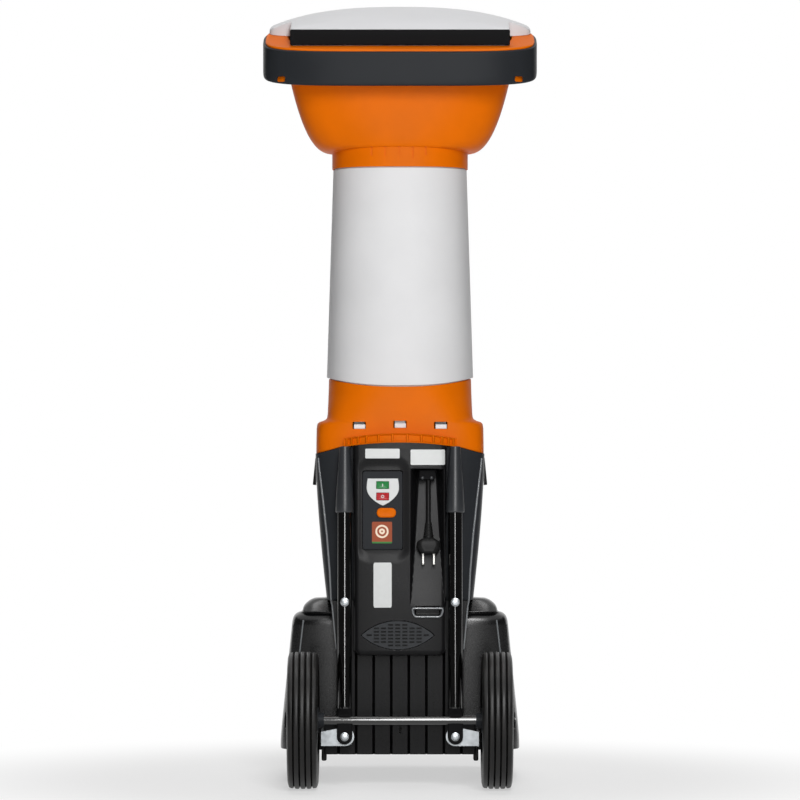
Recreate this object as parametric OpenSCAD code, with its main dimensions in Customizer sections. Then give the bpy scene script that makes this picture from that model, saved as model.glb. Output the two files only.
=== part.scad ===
// Garden shredder on two wheels: inclined hopper with a hinged lid, feed tube, shroud, motor body and foot.
// Millimetres, +Z up, the operator's side with the switch and the wheels faces -Y, the floor is z = 0.

/* [Wheels] */
// Wheel diameter over the tread
wheel_d = 240; // [220:1:250]
// Width of the tread
wheel_w = 54; // [46:1:56]
// Distance between the middle planes of the two wheels
track = 339; // [338:1:348]
// Distance of the axle behind the tower's middle
axle_back = 190; // [184:1:200]
// Axle diameter
axle_d = 16; // [12:1:20]
// Diameter of the tyre's seat on the rim
rim_d = 168; // [150:1:180]
// Depth of the grooves between the tread's ribs
groove_depth = 5; // [2:0.5:8]

/* [Legs] */
// Leg tube diameter
leg_d = 25; // [20:0.5:26]
// Lean of the legs towards the body, in degrees
leg_lean = 3.6; // [3:0.1:4]
// Height of the lower end of the sleeves that hold the legs
sleeve_low = 483; // [460:1:500]

/* [Foot] */
// Half width of the foot at its lower edge
foot_half = 214; // [205:1:225]
// Half width of the foot below its outer shoulder
foot_top_half = 193; // [184:1:198]
// Reach of the foot to the front
foot_front = 328; // [310:1:340]
// Reach of the foot to the rear, ahead of the wheels
foot_rear = 58; // [54:1:60]
// Height of the foot's top deck
deck_z = 327; // [318:1:335]
// Height of the skirt above the floor
skirt_z = 50; // [35:1:58]
// Wall of the foot
foot_wall = 5; // [3:0.5:7]
// Half width of the arch that lets the shreddings out
arch_half = 122; // [100:1:130]
// Height of that arch
arch_z = 205; // [150:1:230]
// Half width of the ribbed rear panel
panel_half = 135; // [132:1:136]
// Height of the rear panel's lower edge above the floor
panel_low = 55; // [45:1:65]
// Distance between the grooves of the rear panel
panel_pitch = 31; // [28:0.5:32]

/* [Body] */
// Height of the body shells
body_h = 259; // [250:1:270]
// Half width of the body at its top
body_top_half = 150; // [148:1:156]
// Half width of the body at the deck
body_low_half = 130; // [129:1:136]
// Depth of the body ahead of the tower's middle
body_front = 150; // [146:1:160]
// Wall of the body, shroud, tube and bowl mouldings
wall = 4; // [3:0.5:5]
// Height of the two locking knobs
knob_z = 553; // [548:1:556]
// Diameter of the locking knobs
knob_d = 50; // [40:1:54]

/* [Rear cover] */
// Half width of the rear cover
cover_half = 81.5; // [80:0.5:83]
// Height of its lower edge
cover_low = 232; // [220:1:245]
// Height of its upper edge above the body
cover_rise = 14; // [8:1:15]
// Depth of the rear cover
cover_depth = 42; // [38:1:46]

/* [Controls] */
// Width of the push buttons
button_w = 22; // [18:0.5:24]
// Height of the push buttons
button_h = 13; // [10:0.5:13]
// Travel of the push buttons
button_travel = 3; // [2:0.5:4]
// Width of the direction slider
slider_w = 34; // [28:1:36]
// Height of the direction slider
slider_h = 17; // [14:0.5:18]
// Travel of the direction slider
slider_travel = 8; // [6:0.5:9]

/* [Cable bay] */
// Height of the bay's lower edge
bay_low = 318; // [312:1:320]
// Height of the bay's ceiling
bay_top = 558; // [558:1:562]
// Cord diameter
cord_d = 8.5; // [7:0.5:9]
// Distance between the plug's pins
pin_pitch = 19; // [17:0.5:20]
// Diameter of the plug's pins
pin_d = 4.8; // [4:0.1:5]
// Thickness of the plug
plug_t = 28; // [24:1:28]

/* [Tower] */
// Height of the shroud above the body
shroud_h = 130; // [124:1:140]
// Half width of the shroud's neck
neck_low_half = 130; // [127:0.5:132]
// Half depth of the shroud's neck
neck_low_depth = 121; // [119:0.5:123]
// Visible length of the feed tube at its sides
tube_h = 372; // [340:1:420]
// Drop of the tube's lower edge at the rear and the front
tube_dip = 13; // [6:1:16]
// Half width of the feed tube at its top
tube_top_half = 121; // [118:0.5:123]
// Half depth of the feed tube at its top
tube_top_depth = 113; // [110:0.5:115]

/* [Hopper] */
// Height of the bowl's straight neck
neck_h = 36; // [28:1:42]
// Height of the bowl from its neck to the collar's near lower edge
bowl_h = 108; // [98:1:125]
// Half width of the bowl under the collar
bowl_half = 193; // [186:1:198]
// Half width over the collar
rim_half = 243; // [238:1:248]
// Reach of the collar towards the operator
rim_near = 168; // [164:1:174]
// Reach of the collar to the front
rim_far = 108; // [104:1:112]
// Incline of the rim towards the operator, in degrees
rim_tilt = 16; // [12:0.5:18]
// Height of the collar
collar_h = 60; // [50:1:64]
// Wall of the collar
collar_t = 6; // [4:0.5:7]

/* [Lid] */
// Half width of the lid
lid_half = 233; // [226:1:234]
// Reach of the lid towards the operator
lid_near = 133; // [131:1:136]
// Reach of the lid to the front
lid_far = 82; // [78:1:83]
// Rise of the lid's crown above the rim
lid_crown = 40; // [36:1:50]
// Half width of the lid's lip
lip_half = 194; // [150:1:196]
// Height of the lid's lip
lip_h = 25; // [18:1:30]

/* [Cutting unit] */
// Inner diameter of the cutting chamber
chamber_d = 240; // [232:1:244]
// Clearance between the chamber and the body's wall
chamber_gap = 2; // [1.5:0.5:4]
// Clearance between the blade disc and the chamber
disc_gap = 8; // [6:0.5:14]
// Diameter of the motor can
can_d = 150; // [140:1:152]
// Shaft diameter
shaft_d = 20; // [16:1:22]
// Outer diameter of the shaft's bearings
bearing_d = 42; // [38:1:46]

/* [Fits] */
// Running clearance round axles, shafts and pins
run = 0.05; // [0.02:0.01:0.08]
// Seating clearance between mouldings
seat = 0.3; // [0.2:0.05:0.4]

/* [Hidden] */
$fn = 64;

orange = "#E07410";
pale_grey = "#C9C9CC";
charcoal = "#33363A";
black = "#222324";
steel = "#B8BCC0";
zinc = "#DADDDF";
lid_grey = "#D9D9DA";
cast_grey = "#93979B";
core_grey = "#6E7276";
copper = "#B5652A";
enamel = "#111111";
rubber = "#1C1C1C";
cord_black = "#161616";
white = "#E8E8E6";
green = "#1E8A44";
red = "#C01824";

// Rear reach of the body and its cover, set by the cutting chamber
cover_back = chamber_d / 2 + chamber_gap + 2 * wall;
cover_face = cover_back + cover_depth;
disc_d = chamber_d - 2 * disc_gap;

// Heights of the main seams, from the floor up
axle_z = wheel_d / 2;
body_top = deck_z + body_h;
shroud_top = body_top + shroud_h;
tube_top = shroud_top + tube_h;
bowl_low = tube_top + neck_h;
rim_low = bowl_low + bowl_h;
rim_slope = tan(rim_tilt);

// D-shaped outlines: half width, reach to the rear, reach to the front, y of the widest place,
// and the roundness exponents of the rear and the front half
SIDES = 48;
rim_sec = [rim_half, rim_near, rim_far, -60, 4.5, 2.2];
mouth_sec = [bowl_half + 4, rim_near - 42, rim_far - 46, -36, 4, 2.3];
bowl_sec = [bowl_half, rim_near - 44, rim_far - 44, -36, 3.6, 2.3];
neck_sec = [tube_top_half + 0.5, tube_top_depth + 0.5, tube_top_depth + 0.5, 0, 2.6, 2.6];
tube_top_sec = [tube_top_half, tube_top_depth, tube_top_depth, 0, 2.6, 2.6];
tube_low_sec = [neck_low_half + 1, neck_low_depth + 1, neck_low_depth + 1, 0, 2.5, 2.5];
shroud_neck_sec = [neck_low_half, neck_low_depth, neck_low_depth, 0, 2.5, 2.5];
shroud_low_sec = [body_top_half - 1, cover_back - 2, body_front - 2, -30, 6, 2.4];
lid_sec = [lid_half, lid_near, lid_far, -30, 5, 2.3];

// An outline drawn in by t all round
function inset(sec, t) = [sec[0] - t, sec[1] - t, sec[2] - t, sec[3], sec[4], sec[5]];

// A signed power, for superellipse coordinates
function rounded(v, e) = sign(v) * pow(abs(v), 2 / e);

// The point of an outline at angle a
function edge_point(sec, a) =
    let (s = sin(a), e = s < 0 ? sec[4] : sec[5], reach = s < 0 ? sec[1] + sec[3] : sec[2] - sec[3])
    [sec[0] * rounded(cos(a), e), sec[3] + reach * rounded(s, e)];

// The outline as a list of points, anticlockwise from above
function outline(sec, n = SIDES) = [for (i = [0:n - 1]) edge_point(sec, 360 * i / n)];

// The y of an outline's rear edge at a given x
function rear_y(sec, x) =
    sec[3] - (sec[1] + sec[3]) * pow(1 - pow(abs(x) / sec[0], sec[4]), 1 / sec[4]);

// An outline at one height
function level(sec, z) = [for (p = outline(sec)) [p.x, p.y, z]];

// An outline whose height drops by dip at the rear and the front
function dipped(sec, z, dip) =
    [for (i = [0:SIDES - 1])
        let (a = 360 * i / SIDES, p = edge_point(sec, a)) [p.x, p.y, z - dip * pow(sin(a), 2)]];

// The height of the inclined rim plane above y, with h measured upwards from the collar's lower edge
function rim_plane(y, h) = rim_low + (y + rim_near) * rim_slope + h;

// An outline laid on the inclined rim plane
function inclined(sec, h) = [for (p = outline(sec)) [p.x, p.y, rim_plane(p.y, h)]];

// A ring between two others: w shares the plan, t shares the height
function between(low, high, w, t) =
    [for (i = [0:len(low) - 1])
        [low[i].x + (high[i].x - low[i].x) * w,
         low[i].y + (high[i].y - low[i].y) * w,
         low[i].z + (high[i].z - low[i].z) * t]];

// A solid skinned over rings of equal length; a wrapped skin closes on its first ring, as a pipe wall does
module skin(rings, wrap = false) {
    n = len(rings[0]);
    r = len(rings);
    points = [for (ring = rings) each ring];
    sides = [for (i = [0:r - (wrap ? 1 : 2)]) for (j = [0:n - 1])
        let (k = (j + 1) % n, u = (i + 1) % r)
        each [[i * n + j, u * n + j, u * n + k], [i * n + j, u * n + k, i * n + k]]];
    caps = wrap ? [] : [[for (j = [0:n - 1]) j], [for (j = [n - 1:-1:0]) (r - 1) * n + j]];
    polyhedron(points, concat(sides, caps));
}

// Both hands of a shape that sits on the right
module pair() {
    children();
    mirror([1, 0, 0]) children();
}

// A tube along z
module pipe(d, bore, h) {
    difference() {
        cylinder(d = d, h = h);
        translate([0, 0, -1]) cylinder(d = bore, h = h + 2);
    }
}

// A rectangle with rounded corners
module rounded_rect(w, h, r) {
    square([w - 2 * r, h], center = true);
    square([w, h - 2 * r], center = true);
    for (x = [-1, 1]) for (y = [-1, 1]) translate([x * (w / 2 - r), y * (h / 2 - r)]) circle(r);
}

// A flat shape drawn in x and z, standing upright from y towards the operator
module upright(y, depth) {
    translate([0, y, 0]) rotate([90, 0, 0]) linear_extrude(depth) children();
}

// A round bar along x that starts at x
module bar_x(x, length, d) {
    translate([x, 0, 0]) rotate([0, 90, 0]) cylinder(d = d, h = length);
}

// Hopper bowl, rim flange and skirt
rim_lip = 4;
skirt_h = 14;
neck_arch = 4;
rim_top = collar_h + rim_lip;
bowl_steps = [0.06, 0.2, 0.4, 0.65, 1];
bowl_curve = 2.1;
crease_arch = 8;

function bowl_ring(t, depth) =
    between(dipped(inset(neck_sec, depth), bowl_low, -crease_arch), inclined(inset(bowl_sec, depth), 0),
        1 - pow(1 - t, bowl_curve), t);

module hopper_bowl() {
    skirt_sec = inset(rim_sec, collar_t + seat);
    color(orange) skin(concat(
        [dipped(neck_sec, tube_top + seat, -neck_arch), dipped(neck_sec, bowl_low, -crease_arch)],
        [for (t = bowl_steps) bowl_ring(t, 0)],
        [inclined(mouth_sec, collar_h - 2),
         inclined(inset(skirt_sec, 3), collar_h - 2),
         inclined(inset(skirt_sec, 3), skirt_h),
         inclined(skirt_sec, skirt_h),
         inclined(skirt_sec, collar_h + seat),
         inclined(inset(rim_sec, 1.5), collar_h + seat),
         inclined(inset(rim_sec, 4), rim_top),
         inclined(inset(mouth_sec, wall), rim_top)],
        [for (i = [len(bowl_steps) - 1:-1:0]) bowl_ring(bowl_steps[i], wall)],
        [dipped(inset(neck_sec, wall), bowl_low, -crease_arch),
         dipped(inset(neck_sec, wall), tube_top + seat, -neck_arch)]), wrap = true);
}

// Bumper band round the rim, with a small arched notch at each near corner
notch_x = 210;
notch_d = 18;

module hopper_collar() {
    inner = inset(rim_sec, collar_t);
    notch_y = rear_y(rim_sec, notch_x);
    color(charcoal) difference() {
        skin([inclined(inset(rim_sec, 3), 0), inclined(rim_sec, 5), inclined(rim_sec, collar_h - 3),
            inclined(inset(rim_sec, 2), collar_h), inclined(inner, collar_h), inclined(inner, 0)],
            wrap = true);
        pair() translate([notch_x, notch_y + 20, rim_plane(notch_y, 0)])
            rotate([90, 0, 0]) cylinder(d = notch_d, h = 60);
    }
}

// Domed lid: each ring is the outline drawn in by s towards the crown
lid_base = rim_top + seat;
lid_edge = 8;
lid_face = 42;
lid_wall = 3;
lid_bend = 3;
lid_centre = -25;
lobe_near = 62;
lobe_bend = 3;
tongue_corner = 6;
tongue_side = 40;

// The lid's outline drawn in by d: a round front, a lobe at each side and a straight tongue to the rear
function lid_outline(d) =
    let (front = inset(lid_sec, d), x = lip_half - d, y = d - lid_near,
         lobe = [lid_half - d, lobe_near - d, lid_far, lid_sec[3], lobe_bend, lid_sec[5]],
         turn = acos(pow(x / (lid_half - d), lobe_bend / 2)))
    concat([for (i = [0:24]) edge_point(front, 180 * i / 24)],
        [for (i = [1:4]) edge_point(lobe, 180 + turn * i / 4)],
        [[-x, y + tongue_side], [-x, y + tongue_corner]],
        [for (i = [-3:3]) [(x - tongue_corner) * i / 3, y]],
        [[x, y + tongue_corner], [x, y + tongue_side]],
        [for (i = [4:-1:1]) edge_point(lobe, 360 - turn * i / 4)]);

function lid_edge_rise(y) =
    let (t = (tongue_side - y - lid_near) / (tongue_side - lid_wall))
    lid_edge + (lid_face - lid_edge) * max(0, min(1, t));

function lid_rise(y, s) = lid_crown + (lid_edge_rise(y) - lid_crown) * pow(s, lid_bend);

function lid_ring(d, s, drop) =
    [for (p = lid_outline(d))
        let (y = lid_centre + s * (p.y - lid_centre))
        [s * p.x, y, rim_plane(y, lid_base + lid_rise(p.y, s) - drop)]];

// The lid's lower edge on the rim
function lid_foot(d) = [for (p = lid_outline(d)) [p.x, p.y, rim_plane(p.y, lid_base)]];

module lid() {
    scales = [0.03, 0.4, 0.7, 0.9];
    color(lid_grey) skin(concat(
        [for (s = scales) lid_ring(lid_wall, s, lid_wall)],
        [lid_ring(lid_wall, 1, lid_wall + 2), lid_foot(lid_wall), lid_foot(0),
         lid_ring(0, 1, 3), lid_ring(0, 0.98, 0)],
        [for (i = [len(scales) - 1:-1:0]) lid_ring(0, scales[i], 0)]));
}

lip_t = 6;
lip_rise = 3;

module lid_lip() {
    color(black) translate([-lip_half, -lid_near - seat - lip_t, rim_plane(-lid_near, lid_base) + lip_rise])
        cube([2 * lip_half, lip_t, lip_h]);
}

// Lid hinge, drawn in the plane of the rim with its axis above the rim's front edge
hinge_x = 70;
hinge_y = rim_far + 4;
hinge_rise = 9;
hinge_pin_d = 6;
arm_w = 12;
ear_t = 5;
ear_r = 7;
arm_r = 6;
bracket_l = 28;
bracket_foot = 10.5;
bracket_t = 2.5;

module hinge_frame() {
    translate([0, hinge_y, rim_plane(hinge_y, rim_top)]) rotate([rim_tilt, 0, 0]) children();
}

// A flat shape drawn in the hinge's own y and z, as a plate of thickness t with its middle at x
module hinge_plate(x, t) {
    translate([x - t / 2, 0, 0]) rotate([90, 0, 90]) linear_extrude(t) difference() {
        children();
        translate([0, hinge_rise]) circle(d = hinge_pin_d + 2 * run);
    }
}

module hinge_bracket() {
    ear_x = arm_w / 2 + seat + ear_t / 2;
    color(orange) pair() hinge_frame() {
        for (side = [-1, 1]) hinge_plate(hinge_x + side * ear_x, ear_t) union() {
            polygon([[-bracket_l, 0], [bracket_foot - bracket_l, 0], [0, hinge_rise - ear_r],
                [0, hinge_rise + ear_r], [-ear_r, hinge_rise + ear_r]]);
            translate([0, hinge_rise]) circle(ear_r);
        }
        translate([hinge_x - ear_x, -bracket_l, 0]) cube([2 * ear_x, bracket_foot, bracket_t]);
    }
}

module hinge_pins() {
    length = arm_w + 2 * seat + 2 * ear_t;
    color(steel) pair() hinge_frame() translate([0, 0, hinge_rise])
        bar_x(hinge_x - length / 2, length, hinge_pin_d);
}

// The y of an outline's front edge at a given x
function front_y(sec, x) =
    sec[3] + (sec[2] - sec[3]) * pow(1 - pow(abs(x) / sec[0], sec[5]), 1 / sec[5]);

module lid_hinge() {
    lid_front = front_y(lid_sec, hinge_x - arm_w / 2);
    low = 3.5;
    high = 9;
    function arm_end(z) = (lid_front + seat - hinge_y + z * sin(rim_tilt)) / cos(rim_tilt);
    color(lid_grey) pair() hinge_frame() hinge_plate(hinge_x, arm_w) union() {
        polygon([[arm_end(low), low], [0, hinge_rise - arm_r], [0, hinge_rise + arm_r],
            [-2 * arm_r, hinge_rise + arm_r], [arm_end(high), high]]);
        translate([0, hinge_rise]) circle(arm_r);
    }
}

// Feed tube: spigots at both ends and three snap lugs that reach into the shroud's windows
lug_pitch = 72;
lug_w = 19;
lug_z = body_top + 46;
lug_h = 9;
spigot_h = 26;

module feed_tube() {
    low = inset(shroud_neck_sec, wall + seat);
    high = inset(neck_sec, wall + seat);
    spigot_low = shroud_top - tube_dip - spigot_h;
    color(pale_grey) skin([level(low, spigot_low),
        dipped(low, shroud_top + seat, tube_dip),
        dipped(tube_low_sec, shroud_top + seat, tube_dip),
        dipped(tube_top_sec, tube_top, -neck_arch),
        dipped(high, tube_top, -neck_arch),
        level(high, tube_top + neck_h - 8),
        level(inset(high, wall), tube_top + neck_h - 8),
        level(inset(tube_top_sec, 2 * wall), tube_top - 10),
        dipped(inset(tube_low_sec, wall), shroud_top + 12, tube_dip),
        level(inset(low, wall), spigot_low)], wrap = true);
    color(pale_grey) for (x = [-lug_pitch, 0, lug_pitch]) {
        face = rear_y(low, abs(x) + lug_w / 2) + 0.5;
        tip = rear_y(shroud_low_sec, abs(x)) + 1.5;
        translate([x - lug_w / 2, face, lug_z]) cube([lug_w, 8, spigot_low + 8 - lug_z]);
        translate([x - lug_w / 2, tip, lug_z]) cube([lug_w, face + 4 - tip, lug_h]);
    }
}

// Shroud with its windows and the ribbed brow over the rear cover
shoulder_h = 54;
brow_half = 100;
brow_reach = 165;
brow_r = 190;
brow_h = 16;
brow_arch = 6;
brow_ribs = 9;
rib_w = 4;
rib_t = 2;
window_w = 23;
window_h = 12;

function brow_section(x, rib) =
    let (out = brow_r - brow_reach - sqrt(brow_r * brow_r - x * x) - rib,
         inner = rear_y(inset(shroud_low_sec, wall / 2), x),
         z = body_top + cover_rise + seat + brow_arch * (1 - pow(x / brow_half, 2)))
    [[x, out, z], [x, inner, z], [x, inner, z + brow_h], [x, out + 4, z + brow_h], [x, out, z + brow_h - 4]];

// The x of each rib: equal steps of angle, so they close up towards the ends
function rib_x(i) = brow_half * sin(70 * (2 * i / (brow_ribs - 1) - 1));

module brow() {
    w = rib_w / 2;
    skin(concat(
        [brow_section(-brow_half, 0)],
        [for (i = [0:brow_ribs - 1]) each
            [brow_section(rib_x(i) - w, 0), brow_section(rib_x(i) - w + 0.5, rib_t),
             brow_section(rib_x(i) + w - 0.5, rib_t), brow_section(rib_x(i) + w, 0)]],
        [brow_section(brow_half, 0)]));
}

module shroud() {
    shoulder = inset(shroud_low_sec, 1);
    color(orange) difference() {
        union() {
            skin([level(shroud_low_sec, body_top), level(shoulder, body_top + shoulder_h),
                level(shroud_neck_sec, body_top + shoulder_h + 14),
                dipped(shroud_neck_sec, shroud_top, tube_dip),
                dipped(inset(shroud_neck_sec, wall), shroud_top, tube_dip),
                level(inset(shroud_neck_sec, wall), body_top + shoulder_h + 12),
                level(inset(shoulder, wall), body_top + shoulder_h - 2),
                level(inset(shroud_low_sec, wall), body_top)], wrap = true);
            brow();
        }
        for (x = [-lug_pitch, 0, lug_pitch])
            translate([x - window_w / 2, rear_y(shroud_low_sec, abs(x)) - 12, lug_z + (lug_h - window_h) / 2])
                cube([window_w, 22, window_h]);
    }
}

module inlet_plate() {
    color(charcoal) difference() {
        translate([0, 0, body_top]) linear_extrude(4) polygon(outline(inset(shroud_low_sec, wall + seat)));
        translate([0, 0, body_top - 1]) cylinder(d = chamber_d - 64, h = 6);
    }
}

// Body shells: half outlines between the deck and the shroud, split across the widest place
body_low_sec = [body_low_half, cover_back - 8, body_front - 10, -30, 8, 2.4];
body_top_sec = [body_top_half, cover_back - seat, body_front, -30, 8, 2.4];
body_swell = 1.5;
HALF_SIDES = 24;
BODY_STEPS = 4;

// Share of the way from the lower to the upper outline, on a swelling curve drawn in straight steps
function swell(t) = 1 - pow(1 - t, body_swell);
function stepped_swell(t) =
    let (k = min(floor(t * BODY_STEPS), BODY_STEPS - 1) / BODY_STEPS, next = k + 1 / BODY_STEPS)
    swell(k) + (swell(next) - swell(k)) * (t - k) * BODY_STEPS;

function body_sec(z) =
    let (w = stepped_swell((z - deck_z) / body_h))
    [for (i = [0:5]) body_low_sec[i] + (body_top_sec[i] - body_low_sec[i]) * w];

// The upright section of a shell's wall at angle a: down the outside, up the inside
function wall_section(a, heights) =
    concat([for (i = [len(heights) - 1:-1:0]) body_point(heights[i], 0, a)],
        [for (z = heights) body_point(z, wall, a)]);

function body_point(z, depth, a) =
    let (p = edge_point(inset(body_sec(z), depth), a)) [p.x, p.y, z];

module body_half(from) {
    heights = [for (i = [0:BODY_STEPS]) deck_z + body_h * i / BODY_STEPS];
    skin([for (i = [0:HALF_SIDES]) wall_section(from + 180 * i / HALF_SIDES, heights)]);
}

knob_stem_d = 14;
knob_t = 4;
knob_gap = 1;
knob_bar = 2;

module front_housing() {
    color(charcoal) difference() {
        body_half(0);
        translate([0, 0, knob_z])
            bar_x(-body_top_half - knob_d, 2 * (body_top_half + knob_d), knob_stem_d + 2 * seat);
    }
}

// Legs lean in from the axle to sleeves on the rear shell
sleeve_t = 2.5;
leg_x = cover_half + 0.5 + sleeve_t + leg_d / 2;
leg_top = body_top - 6;
bolt_d = 8;
bolt_z = deck_z - 9;
stay_drop = 29;
stay_t = 3;
flat_t = 10;
flat_w = 27;

module leg_frame() {
    translate([leg_x, -axle_back, axle_z]) rotate([-leg_lean, 0, 0]) children();
}

// Distance along the leaning leg from the axle to a height
function along_leg(z) = (z - axle_z) / cos(leg_lean);

wiring_d = 30;
wiring_x = -30;

module rear_housing() {
    web_w = 18;
    web_y = rear_y(inset(body_sec(sleeve_low), wall / 2), leg_x - web_w / 2);
    color(charcoal) difference() {
        union() {
            body_half(180);
            pair() {
                leg_frame() translate([0, 0, along_leg(sleeve_low)])
                    cylinder(d = leg_d + 2 * sleeve_t, h = along_leg(body_top - 2) - along_leg(sleeve_low));
                translate([leg_x - web_w / 2, web_y - 44, sleeve_low + 2])
                    cube([web_w, 44, body_top - sleeve_low - 6]);
            }
        }
        pair() leg_frame() translate([0, 0, along_leg(sleeve_low) - 30])
            cylinder(d = leg_d + 2 * run, h = along_leg(leg_top) + 2 * run + 30 - along_leg(sleeve_low));
        translate([wiring_x, -cover_back + 30, sleeve_low]) rotate([90, 0, 0]) cylinder(d = wiring_d, h = 60);
    }
}

// One leg: a tube with a flattened, rounded lower end, bored for the axle and the bolts
module leg() {
    leg_frame() difference() {
        union() {
            translate([0, 0, -10]) cylinder(d = leg_d, h = along_leg(leg_top) + 10);
            upright(flat_t / 2, flat_t) {
                translate([0, -stay_drop]) circle(d = flat_w);
                translate([-flat_w / 2, -stay_drop]) square([flat_w, stay_drop]);
            }
        }
        bar_x(-leg_d, 2 * leg_d, axle_d + 2 * run);
        for (z = [along_leg(bolt_z), -stay_drop])
            translate([0, leg_d, z]) rotate([90, 0, 0]) cylinder(d = bolt_d + 2 * run, h = 2 * leg_d);
    }
}

module left_leg() {
    color(enamel) mirror([1, 0, 0]) leg();
}

module right_leg() {
    color(enamel) leg();
}

module bolt(z, face, length) {
    head_d = 13;
    head_h = 5;
    translate([0, -face, z]) rotate([90, 0, 0]) cylinder(d1 = head_d, d2 = head_d - 4, h = head_h);
    translate([0, length - face, z]) rotate([90, 0, 0]) cylinder(d = bolt_d, h = length);
}

boss_depth = 20;

module leg_bolts() {
    color(zinc) pair() leg_frame() {
        bolt(along_leg(bolt_z), leg_d / 2, leg_d + boss_depth);
        bolt(-stay_drop, flat_t / 2, flat_t + stay_t + 6);
    }
}

// Zinc plate behind the leg's lower end, rounded round the bolt and turned along the side of the rear panel
stay_rim = 3;

module stay_brackets() {
    eye_r = flat_w / 2 + stay_rim;
    plate_y = -axle_back + flat_t / 2 - eye_r * sin(leg_lean) + seat;
    side_x = panel_half + seat;
    bolt_level = axle_z - stay_drop * cos(leg_lean);
    color(zinc) pair() difference() {
        union() {
            upright(plate_y + stay_t, stay_t) {
                translate([leg_x, bolt_level]) circle(eye_r);
                polygon([[leg_x, bolt_level - eye_r], [side_x + stay_t, bolt_level - eye_r],
                    [side_x + stay_t, bolt_level + eye_r / 2], [leg_x, bolt_level + eye_r]]);
            }
            translate([side_x, plate_y, bolt_level - eye_r])
                cube([stay_t, -plate_y - cover_back + 2 * flat_w, 1.5 * eye_r]);
        }
        leg_frame() translate([0, leg_d, -stay_drop]) rotate([90, 0, 0])
            cylinder(d = bolt_d + 2 * run, h = 2 * leg_d);
    }
}

// Ribbed rear panel: a tray closed to the rear, grooved upright, with bosses for the legs, drawn in to a
// waist between its lower step and the body
groove_w = 5;
grooves = 8;
panel_wall = 5;
boss_d = 18;
panel_waist = 112;
panel_step = 112;
waist_top = 241;
slot_z = 45;

// Half of the panel's outline drawn in by d, from its lower edge up to the body
function panel_side(d) =
    [[panel_half - d, panel_low], [panel_half - d, panel_step], [panel_waist - d, panel_step + 8],
     [panel_waist - d, waist_top], [body_low_half - 10 - d, deck_z - d]];

module panel_outline(d) {
    side = panel_side(d);
    polygon(concat(side, [for (i = [len(side) - 1:-1:0]) [-side[i].x, side[i].y]]));
}

module rear_panel() {
    boss_y = axle_back - along_leg(bolt_z) * sin(leg_lean) - leg_d / 2 - seat;
    color(black) difference() {
        union() {
            upright(-foot_rear, cover_back - foot_rear) panel_outline(0);
            pair() leg_frame() translate([0, leg_d / 2 + seat, along_leg(bolt_z)])
                rotate([-90, 0, 0]) cylinder(d = boss_d, h = boss_y - cover_back + 2);
        }
        upright(1 - foot_rear, cover_back - foot_rear + 1 - 2 * panel_wall) union() {
            panel_outline(panel_wall);
            translate([panel_wall - panel_half, panel_low - 1]) square([2 * (panel_half - panel_wall), 2]);
        }
        for (i = [0:grooves - 1]) {
            x = panel_pitch * (i - (grooves - 1) / 2);
            top = abs(x) + groove_w > panel_waist ? panel_step : cover_low + 20;
            translate([x - groove_w / 2, -cover_back - 1, panel_low - 1])
                cube([groove_w, panel_wall, top - panel_low]);
        }
        translate([-groove_w / 2, -cover_back - 1, panel_low + slot_z]) cube([groove_w, 3 * panel_wall, 16]);
        pair() leg_frame() translate([0, -leg_d, along_leg(bolt_z)]) rotate([-90, 0, 0])
            cylinder(d = bolt_d + 2 * run, h = 1.5 * leg_d + boss_depth + seat + 2);
    }
}

// Foot: flared skirt, two shoulders, a deck with the chute's opening, and an arch to the front
foot_low_sec = [foot_half, foot_rear, foot_front, 60, 8, 3];
foot_high_sec = [foot_top_half, foot_rear, foot_front - 26, 60, 8, 3];
ledge_sec = [foot_top_half - 18, foot_rear - 2, foot_front - 44, 60, 8, 3];
deck_sec = [118, 20, 129, 40, 4, 4];
ledge_z = deck_z - 26;
shoulder_r = 10;

module foot_housing() {
    color(black) difference() {
        skin([level(foot_low_sec, skirt_z), level(foot_low_sec, skirt_z + 30),
            level(foot_high_sec, ledge_z - 1.4 * shoulder_r),
            level(inset(foot_high_sec, shoulder_r / 3), ledge_z - shoulder_r / 2),
            level(inset(foot_high_sec, shoulder_r), ledge_z), level(ledge_sec, ledge_z + 2),
            level(inset(ledge_sec, 2), deck_z - shoulder_r), level(inset(ledge_sec, shoulder_r), deck_z),
            level(deck_sec, deck_z), level(deck_sec, deck_z - foot_wall),
            level(inset(ledge_sec, 2 + foot_wall), deck_z - shoulder_r - foot_wall),
            level(inset(foot_high_sec, shoulder_r + foot_wall), ledge_z - foot_wall),
            level(inset(foot_high_sec, foot_wall), ledge_z - 1.4 * shoulder_r - foot_wall),
            level(inset(foot_low_sec, foot_wall), skirt_z + 30),
            level(inset(foot_low_sec, foot_wall), skirt_z)], wrap = true);
        translate([0, foot_front + 20, 0]) upright(0, foot_front - 80) {
            translate([-arch_half, -1]) square([2 * arch_half, arch_z - 40 + 1]);
            translate([-arch_half + 40, -1]) square([2 * arch_half - 80, arch_z + 1]);
            for (x = [-1, 1]) translate([x * (arch_half - 40), arch_z - 40]) circle(40);
        }
    }
}

module front_feet() {
    pad_d = 44;
    spot = edge_point(inset(foot_low_sec, foot_wall / 2), 40);
    color(rubber) pair() translate([spot.x, spot.y, 0]) {
        cylinder(d1 = pad_d - 6, d2 = pad_d, h = 6);
        translate([0, 0, 6]) cylinder(d = pad_d, h = skirt_z - 6);
    }
}

// Axle, spacers, caps and wheels
hub_d = 44;
wheel_in = (track - wheel_w) / 2;
wheel_out = (track + wheel_w) / 2;
cap_t = 5;

module at_axle() {
    translate([0, -axle_back, axle_z]) children();
}

module axle() {
    color(enamel) at_axle() bar_x(-wheel_out - cap_t - 1, 2 * (wheel_out + cap_t + 1), axle_d);
}

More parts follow.
